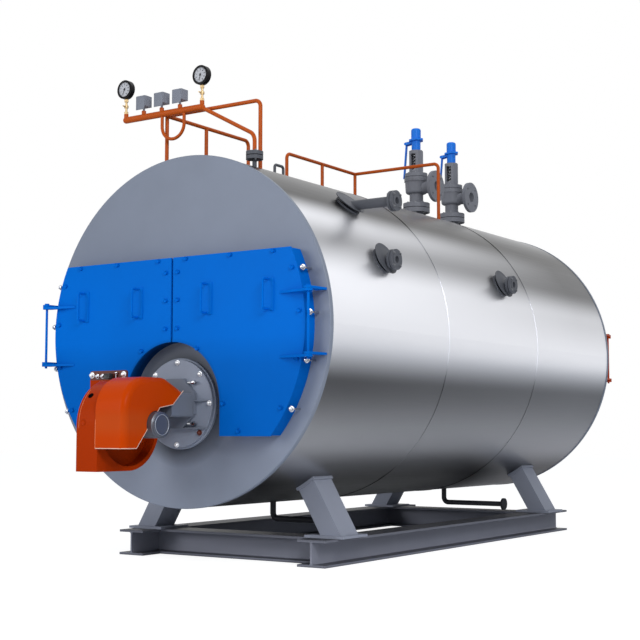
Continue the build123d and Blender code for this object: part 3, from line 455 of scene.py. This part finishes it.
# %% Brush the sheet along the drum
brush_stretch = (60, 0.8, 60)
smoothest, roughest = 0.28, 0.4
stretch = nodes.new("ShaderNodeMapping")
stretch.inputs["Scale"].default_value = brush_stretch
brushing = nodes.new("ShaderNodeTexNoise")
brushing.inputs["Scale"].default_value = 3
brushing.inputs["Detail"].default_value = 5
lines = nodes.new("ShaderNodeMapRange")
lines.inputs["To Min"].default_value = smoothest
lines.inputs["To Max"].default_value = roughest
links.new(place.outputs["Object"], stretch.inputs["Vector"])
links.new(stretch.outputs["Vector"], brushing.inputs["Vector"])
links.new(brushing.outputs["Fac"], lines.inputs["Value"])
links.new(lines.outputs["Result"], surface.inputs["Roughness"])
print("sheet brushed")

# %% [markdown]
# ## Every solid gets its finish
# The frame's record says which finish most solids have. A few are told apart by the end of their name:
# the legs get the skid's grey painted lighter, as painted light because they are lit more than the skid, and
# the valve castings a paler iron, the pipes and the fan's scroll have an orange of their own, and the burner's
# head is darker than its plate.

# %% Put every finish on its solids
finish_by_ending = {
    "_leg": "painted_lit_leg_grey",
    "_valve_body": "cast_iron",
    "_valve_bonnet": "cast_iron",
    "_rail": "pipe_orange",
    "_pipe": "pipe_orange",
    "_manifold": "pipe_orange",
    "fan_housing": "scroll_orange",
    "burner_head": "burner_dark",
}
slot_of = {entry["node"]: entry["material_slot"] for entry in frame["record"]["subparts"]}
for name, node in frame["nodes"].items():
    choice = slot_of[name]
    for ending, own_finish in finish_by_ending.items():
        if name.endswith(ending):
            choice = own_finish
    node.data.materials.clear()
    node.data.materials.append(finishes[choice])
print("finishes on", len(slot_of), "solids")

# %% [markdown]
# ## Small pieces, by hand
# Bolts, studs and dials are too fine for the solids. Each starts as a primitive, is shaped in edit mode
# and is finished with a bevel. A few helpers keep the lesson short: they clear the selection, pick faces
# by a test, step the top of a disc, weld pieces together and round the edges.


# %% Select, pick and round
def alone(*pieces):
    """Leave edit mode and select only these pieces."""
    if bpy.context.object and bpy.context.object.mode != "OBJECT":
        bpy.ops.object.mode_set(mode="OBJECT")
    bpy.ops.object.select_all(action="DESELECT")
    for piece in pieces:
        piece.select_set(True)
        bpy.context.view_layer.objects.active = piece


def pick(piece, test):
    """Go into edit mode with only the faces selected that pass a test."""
    alone(piece)
    bpy.ops.object.mode_set(mode="EDIT")
    bpy.ops.mesh.select_mode(type="FACE")
    bpy.ops.mesh.select_all(action="DESELECT")
    bpy.ops.object.mode_set(mode="OBJECT")
    for face in piece.data.polygons:
        face.select = test(face)
    bpy.ops.object.mode_set(mode="EDIT")


def soften(piece, width, segments=2, sharp=40):
    """Round the sharp edges, then smooth the rest."""
    alone(piece)
    bpy.ops.object.transform_apply(location=True, rotation=True, scale=True)
    rounding = piece.modifiers.new("rounding", "BEVEL")
    rounding.width = width
    rounding.segments = segments
    rounding.limit_method = "ANGLE"
    rounding.angle_limit = math.radians(sharp)
    bpy.ops.object.modifier_apply(modifier="rounding")
    bpy.ops.object.shade_smooth_by_angle(angle=math.radians(sharp))


def weld(*pieces):
    """Join pieces into the last of them."""
    alone(*pieces)
    if len(pieces) > 1:
        bpy.ops.object.join()
    return bpy.context.object


# A face looks squarely along an axis when its normal reaches this far along it.
squarely = 0.9


def faces_up(face):
    return face.normal.z > squarely


def faces_front(face):
    return face.normal.y < -squarely


def step_top(steps):
    """Inset the faces that are selected and lift or sink what is left, once for each step."""
    for rim, lift in steps:
        bpy.ops.mesh.inset(thickness=rim)
        bpy.ops.transform.translate(value=lift)


def stepped_disc(vertices, radius, depth, steps, foot=0.0):
    """A disc or a many-sided plug, standing at a height, whose top is inset and lifted or sunk in steps."""
    alone()
    middle = (0, 0, foot + depth / 2)
    bpy.ops.mesh.primitive_cylinder_add(vertices=vertices, radius=radius, depth=depth, location=middle)
    disc = bpy.context.object
    pick(disc, faces_up)
    step_top([(rim, (0, 0, lift)) for rim, lift in steps])
    return disc


# %% [markdown]
# ## One pattern, many copies
# What repeats is modelled once, at unit size, standing on the floor and pointing up. `lay_out` copies it
# to every spot, turns it to face the right way and joins one row into one piece that rides on its body.


# %% Copy a pattern to its spots
def lay_out(pattern, name, spots, body, finish_name, size):
    """One row of copies, each at its place, looking its own way, as one piece."""
    copies = []
    for place, facing in spots:
        copy = pattern.copy()
        copy.data = pattern.data.copy()
        bpy.context.scene.collection.objects.link(copy)
        turn = Vector(facing).to_track_quat("Z", "Y").to_matrix().to_4x4()
        copy.data.transform(Matrix.Translation(Vector(place)) @ turn @ Matrix.Scale(size, 4))
        copies.append(copy)
    row = weld(*copies)
    row.name = row.data.name = name
    dress(row, body, finish_name)
    print(name, len(spots))


def dress(piece, body, finish_name):
    """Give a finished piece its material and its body."""
    piece.data.materials.clear()
    piece.data.materials.append(finishes[finish_name])
    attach(piece, body)


def put_away(pattern):
    """A pattern has done its work once it is copied."""
    bpy.data.objects.remove(pattern)


def ring_spots(centre, axis, radius, count, start=0.0):
    """Spots on a bolt circle, all facing along its axis."""
    turn = Vector(axis).to_track_quat("Z", "Y")
    spots = []
    for index in range(count):
        angle = math.radians(start + 360 * index / count)
        offset = turn @ Vector((radius * math.cos(angle), radius * math.sin(angle), 0))
        spots.append((Vector(centre) + offset, axis))
    return spots


# %% [markdown]
# ### Hexagon bolt
# A bolt head is a six-sided plug whose top is inset and lifted a little, on a round washer. The bevel
# catches the light, which is most of what one sees of a bolt.

# %% Model the hexagon bolt
washer_depth = 0.2
washer = stepped_disc(20, 1.45, washer_depth, [(0.12, 0.04)])
head = stepped_disc(6, 1, 0.9, [(0.22, 0.12)], foot=washer_depth)
bolt = weld(washer, head)
bolt.name = "bolt_pattern"
soften(bolt, 0.06)
print("bolt faces", len(bolt.data.polygons))

# %% [markdown]
# ### Door stud
# The doors are held to the box by short round studs with a sunk top. A stud is the same stepped disc,
# with a socket pushed in.

# %% Model the stud
stud = stepped_disc(20, 1, 1.1, [(0.42, -0.5)])
stud.name = "stud_pattern"
soften(stud, 0.12)
print("stud faces", len(stud.data.polygons))

# %% [markdown]
# ### Swing bolt
# Beside the rim of the doors stand bright swing bolts: a threaded rod with a thick plate, a nut and a
# narrowed end. The rod is a cylinder whose end is extruded and scaled down.

# %% Model the swing bolt
rod_length = 8.0
rod_end = 3.2
alone()
rod_middle = (0, 0, rod_end - rod_length / 2)
bpy.ops.mesh.primitive_cylinder_add(vertices=16, radius=0.5, depth=rod_length, location=rod_middle)
rod = bpy.context.object
pick(rod, faces_up)
bpy.ops.mesh.extrude_region_move(TRANSFORM_OT_translate={"value": (0, 0, 0.25)})
bpy.ops.transform.resize(value=(0.6, 0.6, 1))
nut = stepped_disc(6, 1.0, 0.9, [(0.2, 0.1)], foot=2.0)
thick_plate = stepped_disc(24, 1.35, 0.35, [(0.15, 0.05)], foot=1.625)
swing_bolt = weld(nut, thick_plate, rod)
swing_bolt.name = "swing_bolt_pattern"
soften(swing_bolt, 0.05)
print("swing bolt faces", len(swing_bolt.data.polygons))

# %% [markdown]
# ## Studs and swing bolts of the doors
# Each leaf has three studs along its top, three beside the middle and four along its rim. The places are
# shares of the drum's radius, across and up from its axis, judged from the photograph, and one list
# serves both leaves, mirrored. The front leaves also have a few beside the arch, and the rear leaves,
# which don't show, do without.

# %% Place the studs
stud_shares = [(0.70, 0.39), (0.41, 0.39), (0.10, 0.39), (0.043, 0.32), (0.043, 0.163), (0.043, 0.005),
               (0.822, 0.292), (0.868, 0.062), (0.852, -0.19), (0.75, -0.444)]
arch_stud_shares = {
    "left": [(0.218, -0.114), (0.37, -0.418)],
    "right": [(0.187, -0.114), (0.37, -0.418), (0.473, -0.565)],
}
stud_size = 0.0125
door_reach = 0.106
door_paints = {"front": "door_paint", "rear": "orange_paint"}
for end, face_y, facing in ends:
    stud_y = face_y + facing * door_reach
    for side, hand in (("left", -1), ("right", 1)):
        shares = stud_shares + (arch_stud_shares[side] if end == "front" else [])
        spots = []
        for across, up in shares:
            place = (hand * across * drum_radius, stud_y, axis_height + up * drum_radius)
            spots.append((place, (0, facing, 0)))
        leaf = f"{end}_{side}_door"
        paint = door_paints[end]
        lay_out(stud, f"{leaf}_studs", spots, f"{leaf}_leaf", paint, stud_size)
put_away(stud)

# %% Place the swing bolts
swing_shares = [(0.871, 0.288), (0.92, 0.053), (0.896, -0.196), (0.799, -0.447)]
swing_circle_share = 0.925
swing_reach = 0.062
swing_size = 0.0135
for end, face_y, facing in ends:
    spots = []
    for across, up in swing_shares:
        reach = swing_circle_share * drum_radius / math.hypot(across, up)
        for hand in (-1, 1):
            place = (hand * across * reach, face_y + facing * swing_reach, axis_height + up * reach)
            spots.append((place, (0, facing, 0)))
    lay_out(swing_bolt, f"{end}_swing_bolts", spots, "root", "chrome", swing_size)
put_away(swing_bolt)

# %% [markdown]
# ## Bolts of the flanges
# Every flange pair is drawn together by bolts on its bolt circle, with heads on both of its faces. The
# circle is worked out from the box of the solid that carries the flange, so the heads sit on it.

# %% Bolt the nozzles
nozzle_rise_shares = {"upper_nozzle": 0.75, "front_nozzle": 0.405, "rear_nozzle": 0.405}
plate_lip = 0.003
sheet_radius = drum_radius - plate_lip
flange_gap = 0.005
nozzle_flange = 0.017
nozzle_face_height = 0.002
nozzle_circle = 0.055
nozzle_bolt_size = 0.0075
to_outer_face = Vector((nozzle_face_height, 0, 0))
to_inner_face = to_outer_face + Vector((2 * nozzle_flange + flange_gap, 0, 0))
for name, rise_share in nozzle_rise_shares.items():
    low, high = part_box(name)
    mouth_middle = Vector((high.x, (low.y + high.y) / 2, axis_height + rise_share * sheet_radius))
    spots = ring_spots(mouth_middle - to_outer_face, (1, 0, 0), nozzle_circle, 4, 45)
    spots += ring_spots(mouth_middle - to_inner_face, (-1, 0, 0), nozzle_circle, 4, 45)
    lay_out(bolt, f"{name}_bolts", spots, "root", "dark_zinc", nozzle_bolt_size)

# %% Bolt the safety valves
valve_foot = axis_height + drum_radius + 0.056
valve_flange = 0.036
base_circle = 0.088
base_bolt_size = 0.0075
bonnet_foot = 0.068
bonnet_circle = 0.077
bonnet_bolt_size = 0.0068
for name in ("front_valve", "rear_valve"):
    low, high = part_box(f"{name}_bonnet")
    axis = Vector((0, (low.y + high.y) / 2, 0))
    base = axis + Vector((0, 0, valve_foot))
    top = base + Vector((0, 0, 2 * valve_flange + flange_gap))
    spots = ring_spots(base, (0, 0, -1), base_circle, 8, 22.5)
    spots += ring_spots(top, (0, 0, 1), base_circle, 8, 22.5)
    lay_out(bolt, f"{name}_base_bolts", spots, "root", "dark_zinc", base_bolt_size)
    spots = ring_spots(axis + Vector((0, 0, low.z + bonnet_foot)), (0, 0, 1), bonnet_circle, 8, 22.5)
    lay_out(bolt, f"{name}_bonnet_bolts", spots, "root", "dark_zinc", bonnet_bolt_size)

# %% Bolt the steam tapping
tap_flange = 0.023
tap_circle = 0.041
tap_bolt_size = 0.0065
low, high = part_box("steam_tapping")
top = Vector(((low.x + high.x) / 2, (low.y + high.y) / 2, high.z))
base = top - Vector((0, 0, 2 * tap_flange + flange_gap))
spots = ring_spots(top, (0, 0, 1), tap_circle, 4, 45) + ring_spots(base, (0, 0, -1), tap_circle, 4, 45)
lay_out(bolt, "steam_tapping_bolts", spots, "root", "dark_zinc", tap_bolt_size)
put_away(bolt)

# %% [markdown]
# ## The burner's round plate
# Eight fasteners hold the plate. Seven are bright domed nuts and one, at the lower right, is a brown
# knob. A domed nut is a sphere cut flat and set on a washer. The same nut, in other sizes, holds the ends of
# the actuator plate and makes its two chrome knobs.

# %% Model the domed nut
alone()
bpy.ops.mesh.primitive_uv_sphere_add(segments=20, ring_count=12, radius=1, location=(0, 0, 0.5))
cap = bpy.context.object
bpy.ops.object.mode_set(mode="EDIT")
bpy.ops.mesh.select_all(action="SELECT")
bpy.ops.mesh.bisect(plane_co=(0, 0, 0.02), plane_no=(0, 0, 1), clear_inner=True, use_fill=True)
collar = stepped_disc(24, 1.3, 0.3, [(0.14, 0.05)])
dome = weld(collar, cap)
dome.name = "domed_nut_pattern"
soften(dome, 0.05)
print("domed nut faces", len(dome.data.polygons))

# %% Place the domed nuts of the plate
plate_circle = 0.252
plate_nut_size = 0.0130
plate_knob_size = 0.0135
plate_face = burner_low.y
spots = ring_spots((0, plate_face, burner_z), (0, -1, 0), plate_circle, 8)
knob = min(spots, key=lambda spot: spot[0].z - spot[0].x)
spots.remove(knob)
lay_out(dome, "burner_plate_nuts", spots, "root", "bright_zinc", plate_nut_size)
lay_out(dome, "burner_plate_knob", [knob], "root", "bracket_brown", plate_knob_size)

# %% Place the nuts and knobs of the actuator plate
bracket_low, bracket_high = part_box("actuator_bracket")
actuator_nut_size, actuator_knob_size = 0.0145, 0.0115
nut_rise, knob_drop = 0.030, 0.007
nut_xs = (bracket_low.x + 0.018, bracket_high.x - 0.024)
knob_xs = (bracket_low.x + 0.061, bracket_low.x + 0.102)
nut_z = bracket_low.z + nut_rise
spots = [((x, bracket_low.y, nut_z), (0, -1, 0)) for x in nut_xs]
lay_out(dome, "actuator_nuts", spots, "root", "bright_zinc", actuator_nut_size)
spots = [((x, bracket_low.y, nut_z - knob_drop), (0, -1, 0)) for x in knob_xs]
lay_out(dome, "actuator_knobs", spots, "root", "chrome", actuator_knob_size)

# %% [markdown]
# ### Wing nuts
# Four wing nuts clamp the burner's flange. The hub is a cone, and each wing is a side face pulled out and
# up.

# %% Model and place the wing nuts
wing_nut_size = 0.0145
wing_reach = 0.137
alone()
bpy.ops.mesh.primitive_cone_add(vertices=12, radius1=1, radius2=0.7, depth=1.2, location=(0, 0, 0.6))
wing = bpy.context.object
wing.name = "wing_nut_pattern"
for hand in (-1, 1):
    pick(wing, lambda face: face.normal.x * hand > squarely and abs(face.normal.z) < 0.5)
    bpy.ops.mesh.extrude_region_move(TRANSFORM_OT_translate={"value": (hand * 0.9, 0, 0.35)})
    bpy.ops.mesh.extrude_region_move(TRANSFORM_OT_translate={"value": (hand * 0.7, 0, 0.7)})
    bpy.ops.transform.resize(value=(1, 0.7, 1.1))
soften(wing, 0.1)
spots = []
for hand in (-1, 1):
    for rise in (0.127, -0.123):
        spots.append(((hand * wing_reach, plate_face, burner_z + rise), (0, -1, 0)))
lay_out(wing, "burner_wing_nuts", spots, "root", "chrome", wing_nut_size)
put_away(wing)

# %% [markdown]
# ### Fittings on the actuator plate
# Beside the knobs stand a small dark box with a sunk front and an upright pin with a broad head.

# %% Model the actuator's box
box_size = (0.046, 0.036, 0.032)
box_middle = Vector((bracket_low.x + 0.162, bracket_low.y - box_size[1] / 2, bracket_low.z + 0.022))
alone()
bpy.ops.mesh.primitive_cube_add(size=1, location=box_middle)
housing = bpy.context.object
housing.name = "actuator_box"
housing.scale = box_size
bpy.ops.object.transform_apply(location=True, rotation=True, scale=True)
pick(housing, faces_front)
step_top([(0.005, (0, 0.003, 0))])
soften(housing, 0.003, 3)
dress(housing, "root", "dark_fitting")
print("actuator box at", [round(v, 3) for v in box_middle])

# %% Model the actuator's pin
pin_middle = Vector((bracket_low.x + 0.219, bracket_low.y - 0.008, bracket_low.z + 0.020))
head_flare = 1.7
alone()
bpy.ops.mesh.primitive_cylinder_add(vertices=20, radius=0.006, depth=0.030, location=pin_middle)
pin = bpy.context.object
pin.name = "actuator_pin"
bpy.ops.object.transform_apply(location=True, rotation=True, scale=True)
pick(pin, faces_up)
bpy.ops.mesh.extrude_region_move(TRANSFORM_OT_translate={"value": (0, 0, 0.002)})
bpy.ops.transform.resize(value=(head_flare, head_flare, 1))
bpy.ops.mesh.extrude_region_move(TRANSFORM_OT_translate={"value": (0, 0, 0.007)})
soften(pin, 0.0012)
dress(pin, "root", "chrome")
print("actuator pin at", [round(v, 3) for v in pin_middle])

# %% [markdown]
# ## Gauges
# A gauge has a white dial in a dark rim, a ring of ticks, numbers and a black pointer on its hub. The
# dial is a disc whose face is inset and sunk. The rim is another disc whose two faces are inset and
# bridged into a hole.

# %% Measure the gauges
low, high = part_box("pressure_gauges")
gauge_y = low.y
gauge_z = (low.z + high.z) / 2
gauge_radius = (high.z - low.z) / 2
gauge_places = [low.x + gauge_radius, high.x - gauge_radius]
bezel_width = 0.0075
bezel_radius = gauge_radius - 0.0072
dial_y = gauge_y + 0.0012
print("dials at", [round(x, 3) for x in gauge_places])


# %% Model the dials and their rims
def front_disc(name, radius, depth, middle):
    """A thin disc that looks to the front."""
    alone()
    bpy.ops.mesh.primitive_cylinder_add(vertices=64, radius=radius, depth=depth, location=middle,
                                        rotation=(math.pi / 2, 0, 0))
    disc = bpy.context.object
    disc.name = name
    bpy.ops.object.transform_apply(location=True, rotation=True, scale=True)
    return disc


for index, x in enumerate(gauge_places):
    dial_middle = (x, gauge_y + 0.0032, gauge_z)
    dial = front_disc(f"gauge_dial_{index + 1}", gauge_radius - bezel_width, 0.003, dial_middle)
    pick(dial, faces_front)
    step_top([(0.003, (0, 0.0008, 0))])
    soften(dial, 0.0004)
    dress(dial, "root", "dial_white")
    bezel_middle = (x, gauge_y - 0.0002, gauge_z)
    bezel = front_disc(f"gauge_bezel_{index + 1}", bezel_radius, 0.004, bezel_middle)
    pick(bezel, lambda face: abs(face.normal.y) > squarely)
    bpy.ops.mesh.inset(thickness=bezel_width)
    bpy.ops.mesh.bridge_edge_loops()
    soften(bezel, 0.0006)
    dress(bezel, "root", "gauge_case")
print("dials and rims made")

# %% [markdown]
# ### Scales and pointers
# The scale starts at the lower left and runs clockwise over 300 degrees. Each tick is a thin box, turned
# and moved to its place on the circle, and every fifth is longer. The numbers are text, made a mesh. A
# pointer is a slim four-sided cone on a small raised hub, and the two gauges show slightly different readings.

# %% Helpers for the marks of a scale
scale_start, scale_sweep = 240, 300
tick_count, number_count = 41, 9
ticks_to_a_long_one = 5
number_reach = gauge_radius - 0.031
number_step = 2


def scale_angle(index, count):
    """The angle of a mark, from the first one at the lower left to the last one at the lower right."""
    return math.radians(scale_start - scale_sweep * index / (count - 1))


def put_on_dial(mark, x, reach, angle):
    """Move a mark to its place on a dial."""
    place = Vector((x + reach * math.cos(angle), dial_y, gauge_z + reach * math.sin(angle)))
    mark.data.transform(Matrix.Translation(place))
    return mark


def tick(x, index):
    """One tick of the scale."""
    is_long = index % ticks_to_a_long_one == 0
    length, thickness = (0.0065, 0.0018) if is_long else (0.0035, 0.001)
    angle = scale_angle(index, tick_count)
    alone()
    bpy.ops.mesh.primitive_cube_add(size=1)
    mark = bpy.context.object
    mark.data.transform(Matrix.Diagonal((length, 0.0008, thickness, 1)))
    mark.data.transform(Matrix.Rotation(-angle, 4, "Y"))
    return put_on_dial(mark, x, bezel_radius - bezel_width - 0.002 - length / 2, angle)


def number(x, index):
    """One number of the scale, upright."""
    alone()
    bpy.ops.object.text_add()
    figures = bpy.context.object.data
    figures.body = str(number_step * index)
    figures.size = 0.0105
    figures.extrude = 0.0003
    figures.align_x = "CENTER"
    figures.align_y = "CENTER"
    bpy.ops.object.convert(target="MESH")
    mark = bpy.context.object
    mark.data.transform(Matrix.Rotation(math.pi / 2, 4, "X"))
    return put_on_dial(mark, x, number_reach, scale_angle(index, number_count))


# %% Model a pointer
hand_lift = 0.014


def pointer(x, turn):
    """A hand on its hub, turned to its reading and put on a dial."""
    alone()
    bpy.ops.mesh.primitive_cone_add(vertices=4, radius1=0.0030, radius2=0.0010, depth=0.05)
    hand = bpy.context.object
    hand.data.transform(Matrix.Translation((0, 0, hand_lift)))
    alone()
    bpy.ops.mesh.primitive_cylinder_add(vertices=24, radius=0.006, depth=0.003, rotation=(math.pi / 2, 0, 0))
    hub = bpy.context.object
    bpy.ops.object.transform_apply(location=True, rotation=True, scale=True)
    pick(hub, faces_front)
    step_top([(0.002, (0, -0.001, 0))])
    piece = weld(hand, hub)
    piece.data.transform(Matrix.Rotation(math.radians(turn), 4, "Y"))
    piece.data.transform(Matrix.Translation((x, dial_y - 0.0018, gauge_z)))
    return piece


# %% Put a scale and a pointer on each gauge
pointer_turns = (200, 190)
for index, x in enumerate(gauge_places):
    marks = [tick(x, step) for step in range(tick_count)]
    marks += [number(x, step) for step in range(number_count)]
    scale = weld(*marks)
    scale.name = scale.data.name = f"gauge_scale_{index + 1}"
    dress(scale, "root", "dial_ink")
    hand = pointer(x, pointer_turns[index])
    hand.name = hand.data.name = f"gauge_pointer_{index + 1}"
    dress(hand, "root", "dial_ink")
    print("scale with", len(marks), "marks, pointer turned by", pointer_turns[index])

# %% [markdown]
# ## Switch boxes
# The boxes are plain. Each has a thin cover on its front with a raised field, held by four tiny domed
# screws.

# %% Model the covers of the switches
low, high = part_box("pressure_switches")
switch_count = 3
switch_width = 0.08
cover_margin = 0.003
cover_depth = 0.003
screw_inset = 0.008
screw_size = 0.0022
pitch = (high.x - low.x - switch_width) / (switch_count - 1)
screws = []
for index in range(switch_count):
    x = low.x + switch_width / 2 + index * pitch
    alone()
    bpy.ops.mesh.primitive_cube_add(size=1, location=(x, low.y, (low.z + high.z) / 2))
    cover = bpy.context.object
    cover.name = f"switch_cover_{index + 1}"
    cover.scale = (switch_width - 2 * cover_margin, cover_depth, high.z - low.z - 2 * cover_margin)
    bpy.ops.object.transform_apply(location=True, rotation=True, scale=True)
    pick(cover, faces_front)
    step_top([(0.009, (0, -0.0012, 0))])
    soften(cover, 0.0006, 3, 20)
    dress(cover, "root", "switch_lid")
    for hand in (-1, 1):
        screw_x = x + hand * (switch_width / 2 - screw_inset)
        for z in (low.z + screw_inset, high.z - screw_inset):
            screws.append(((screw_x, low.y - 0.0014, z), (0, -1, 0)))
lay_out(dome, "switch_screws", screws, "root", "dark_zinc", screw_size)
put_away(dome)

# %% [markdown]
# ## The hood's lip and laps
# The pressed hood ends in a rolled lip, coloured pale as a painted highlight. A curve with a round bevel along
# its lower edge becomes a mesh. Two finer beads in a pale orange are painted highlights where the hood and the
# scroll lap over.


# %% Helpers for beads and arcs
def wire(name, points, radius, cyclic=False):
    """A thin round bead along a run of points, made a mesh."""
    line = bpy.data.curves.new(name, "CURVE")
    line.dimensions = "3D"
    line.bevel_depth = radius
    line.bevel_resolution = 2
    run = line.splines.new("POLY")
    run.points.add(len(points) - 1)
    for point, place in zip(run.points, points):
        point.co = (*place, 1)
    run.use_cyclic_u = cyclic
    piece = bpy.data.objects.new(name, line)
    bpy.context.scene.collection.objects.link(piece)
    alone(piece)
    bpy.ops.object.convert(target="MESH")
    piece = bpy.context.object
    bpy.ops.object.shade_smooth_by_angle(angle=math.radians(60))
    return piece


def arc(middle, radius, start, stop, steps):
    """Points round a line across the boiler, from one angle to another."""
    points = []
    for step in range(steps + 1):
        angle = math.radians(start + (stop - start) * step / steps)
        points.append((middle.x, middle.y + radius * math.cos(angle), middle.z + radius * math.sin(angle)))
    return points


# %% Roll the lip
# Across the front and round the corner the lip follows the hood's box. Then it runs back along the hood's
# side, where each point is a share of the fan's radius.
fan_low, fan_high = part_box("fan_housing")
fan_radius = (fan_high.z - fan_low.z) / 2
fan_z = (fan_high.z + fan_low.z) / 2
fan_y = fan_low.y + fan_radius
lip_radius = 0.0028
lip_inset = 0.001
lip_x = hood_high.x - lip_inset
lip_z = fan_z - 0.5 * fan_radius
lip_corner = [(0.042, lip_inset), (0.018, 0.008), (0.005, 0.024), (lip_inset, 0.042)]
lip_shares = [(-0.619, -0.5), (0.122, 0.374), (0.556, 0.444), (0.905, 0.757)]
lip_points = [(hood_low.x + 0.002, hood_low.y + lip_inset, lip_z)]
lip_points += [(hood_high.x - inward, hood_low.y + back, lip_z) for inward, back in lip_corner]
lip_points += [(lip_x, fan_y + along * fan_radius, fan_z + up * fan_radius) for along, up in lip_shares]
# The lip is coloured pale as a painted highlight.
dress(wire("hood_lip", lip_points, lip_radius), "root", "painted_highlight_pale")
print("lip through", len(lip_points), "points")

# %% Lay the beads of the laps
lap_radius, rim_radius = 0.0016, 0.0014
hood_middle = Vector((hood_low.x, fan_y, fan_z))
scroll_middle = Vector((-0.190, fan_y, fan_z))
hood_lap_highlight = [(hood_low.x, hood_low.y, lip_z)] + arc(hood_middle, fan_y - hood_low.y, 180, 105, 24)
scroll_rim_highlight = arc(scroll_middle, fan_radius - 0.0005, 130, 215, 24)
# Both beads are coloured as painted highlights.
dress(wire("hood_lap_highlight", hood_lap_highlight, lap_radius), "root", "painted_highlight_orange")
dress(wire("scroll_rim_highlight", scroll_rim_highlight, rim_radius), "root", "painted_highlight_orange")
print("laps through", len(hood_lap_highlight), "and", len(scroll_rim_highlight), "points")

# %% [markdown]
# ## The scroll's marks
# The fan's scroll has a sight hole high up and a pressed round boss below it. Both are small discs
# with a sunk top, square to the scroll's round wall, and the hole's disc is near black as painted shade inside
# the hole.

# %% Mark the scroll
mark_x = -0.155
# The sight hole's disc is near black as painted shade.
scroll_marks = {"scroll_sight_hole": (39, 0.0175, "painted_hole_shade"), "scroll_boss": (3, 0.0170, "scroll_orange")}
for name, (rise, radius, finish_name) in scroll_marks.items():
    mark = stepped_disc(32, radius, 0.006, [(0.003, -0.003)])
    mark.name = name
    outward = Vector((0, -math.cos(math.radians(rise)), math.sin(math.radians(rise))))
    mark.rotation_euler = outward.to_track_quat("Z", "X").to_euler()
    mark.location = Vector((mark_x, fan_y, fan_z)) + outward * fan_radius
    soften(mark, 0.0008)
    dress(mark, "root", finish_name)
print("scroll marked")

# %% [markdown]
# ## The motor's end cover
# The motor ends in a round cover with a raised rim, a sunk middle and a thin bright ring. The cover is a
# disc stepped three times, and the ring is a closed bead.

# %% Model the motor's cover
low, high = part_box("fan_motor")
motor_radius = (high.z - low.z) / 2
motor_middle = (low + high) / 2
cover_steps = [(0.012, 0.002), (0.003, -0.004), (0.044, 0.001)]
cover = stepped_disc(48, 0.96 * motor_radius, 0.004, cover_steps)
cover.name = "motor_cover"
cover.rotation_euler = (0, math.pi / 2, 0)
cover.location = (high.x - 0.001, motor_middle.y, motor_middle.z)
soften(cover, 0.0008)
dress(cover, "root", "motor_grey")
ring_points = 48
ring_middle = Vector((high.x + 0.002, motor_middle.y, motor_middle.z))
ring = arc(ring_middle, 0.76 * motor_radius, 0, 360 - 360 / ring_points, ring_points - 1)
dress(wire("motor_cover_ring", ring, 0.0022, cyclic=True), "root", "pale_steel")
print("motor cover", len(cover.data.polygons), "faces")

# %% [markdown]
# ## Rosettes of the side nozzles
# Where a nozzle leaves the jacket, a round rosette stands a little proud and closes the insulation. It is
# a thin dished disc with a rolled rim, square to the drum's radius.

# %% Model the rosettes
rosette_reach = drum_radius + 0.030
for name, rise_share in nozzle_rise_shares.items():
    low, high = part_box(name)
    tilt = math.asin(rise_share)
    outward = Vector((math.cos(tilt), 0, math.sin(tilt)))
    rosette = stepped_disc(48, 0.108, 0.006, [(0.007, -0.003), (0.045, 0.010)])
    rosette.name = f"{name}_rosette"
    rosette.rotation_euler = (0, math.pi / 2 - tilt, 0)
    rosette.location = Vector((0, (low.y + high.y) / 2, axis_height)) + outward * rosette_reach
    soften(rosette, 0.0012)
    dress(rosette, "root", "valve_iron")
print("rosettes placed")

# %% [markdown]
# ## Fire tubes behind the doors
# Open the doors and the tube plate shows: rows of tube mouths, each with a rim round a sunk bore. One
# mouth is modelled and copied over a grid whose rows are staggered. The burner's arch keeps the middle of
# the front free.

# %% Model a tube mouth
mouth = stepped_disc(16, 1, 0.16, [(0.2, -0.12)], foot=-0.08)
mouth.name = "tube_mouth_pattern"
alone(mouth)
bpy.ops.object.shade_smooth_by_angle(angle=math.radians(40))
print("tube mouth faces", len(mouth.data.polygons))

# %% Place the tube mouths
mouth_size = 0.030
tube_pitch = 0.084
row_count, column_count = 11, 9
first_column = 0.105
top_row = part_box("front_left_door")[1].z - axis_height - 0.05
bundle_radius, bundle_rise, bundle_width = 0.88, 0.08, 0.80
arch_radius, arch_drop = 0.42, 0.375
for end, face_y, facing in ends:
    spots = []
    for row in range(row_count):
        up = top_row - tube_pitch * row
        for column in range(column_count):
            across = first_column + tube_pitch * (column + 0.5 * (row % 2))
            inside = across < bundle_width and math.hypot(across, up - bundle_rise) < bundle_radius
            in_arch = math.hypot(across, up + arch_drop) < arch_radius
            under_arch = up < -arch_drop and across < arch_radius
            if inside and not (end == "front" and (in_arch or under_arch)):
                spots += [((hand * across, face_y, axis_height + up), (0, facing, 0)) for hand in (-1, 1)]
    lay_out(mouth, f"{end}_tube_mouths", spots, "root", "tube_steel", mouth_size)
put_away(mouth)
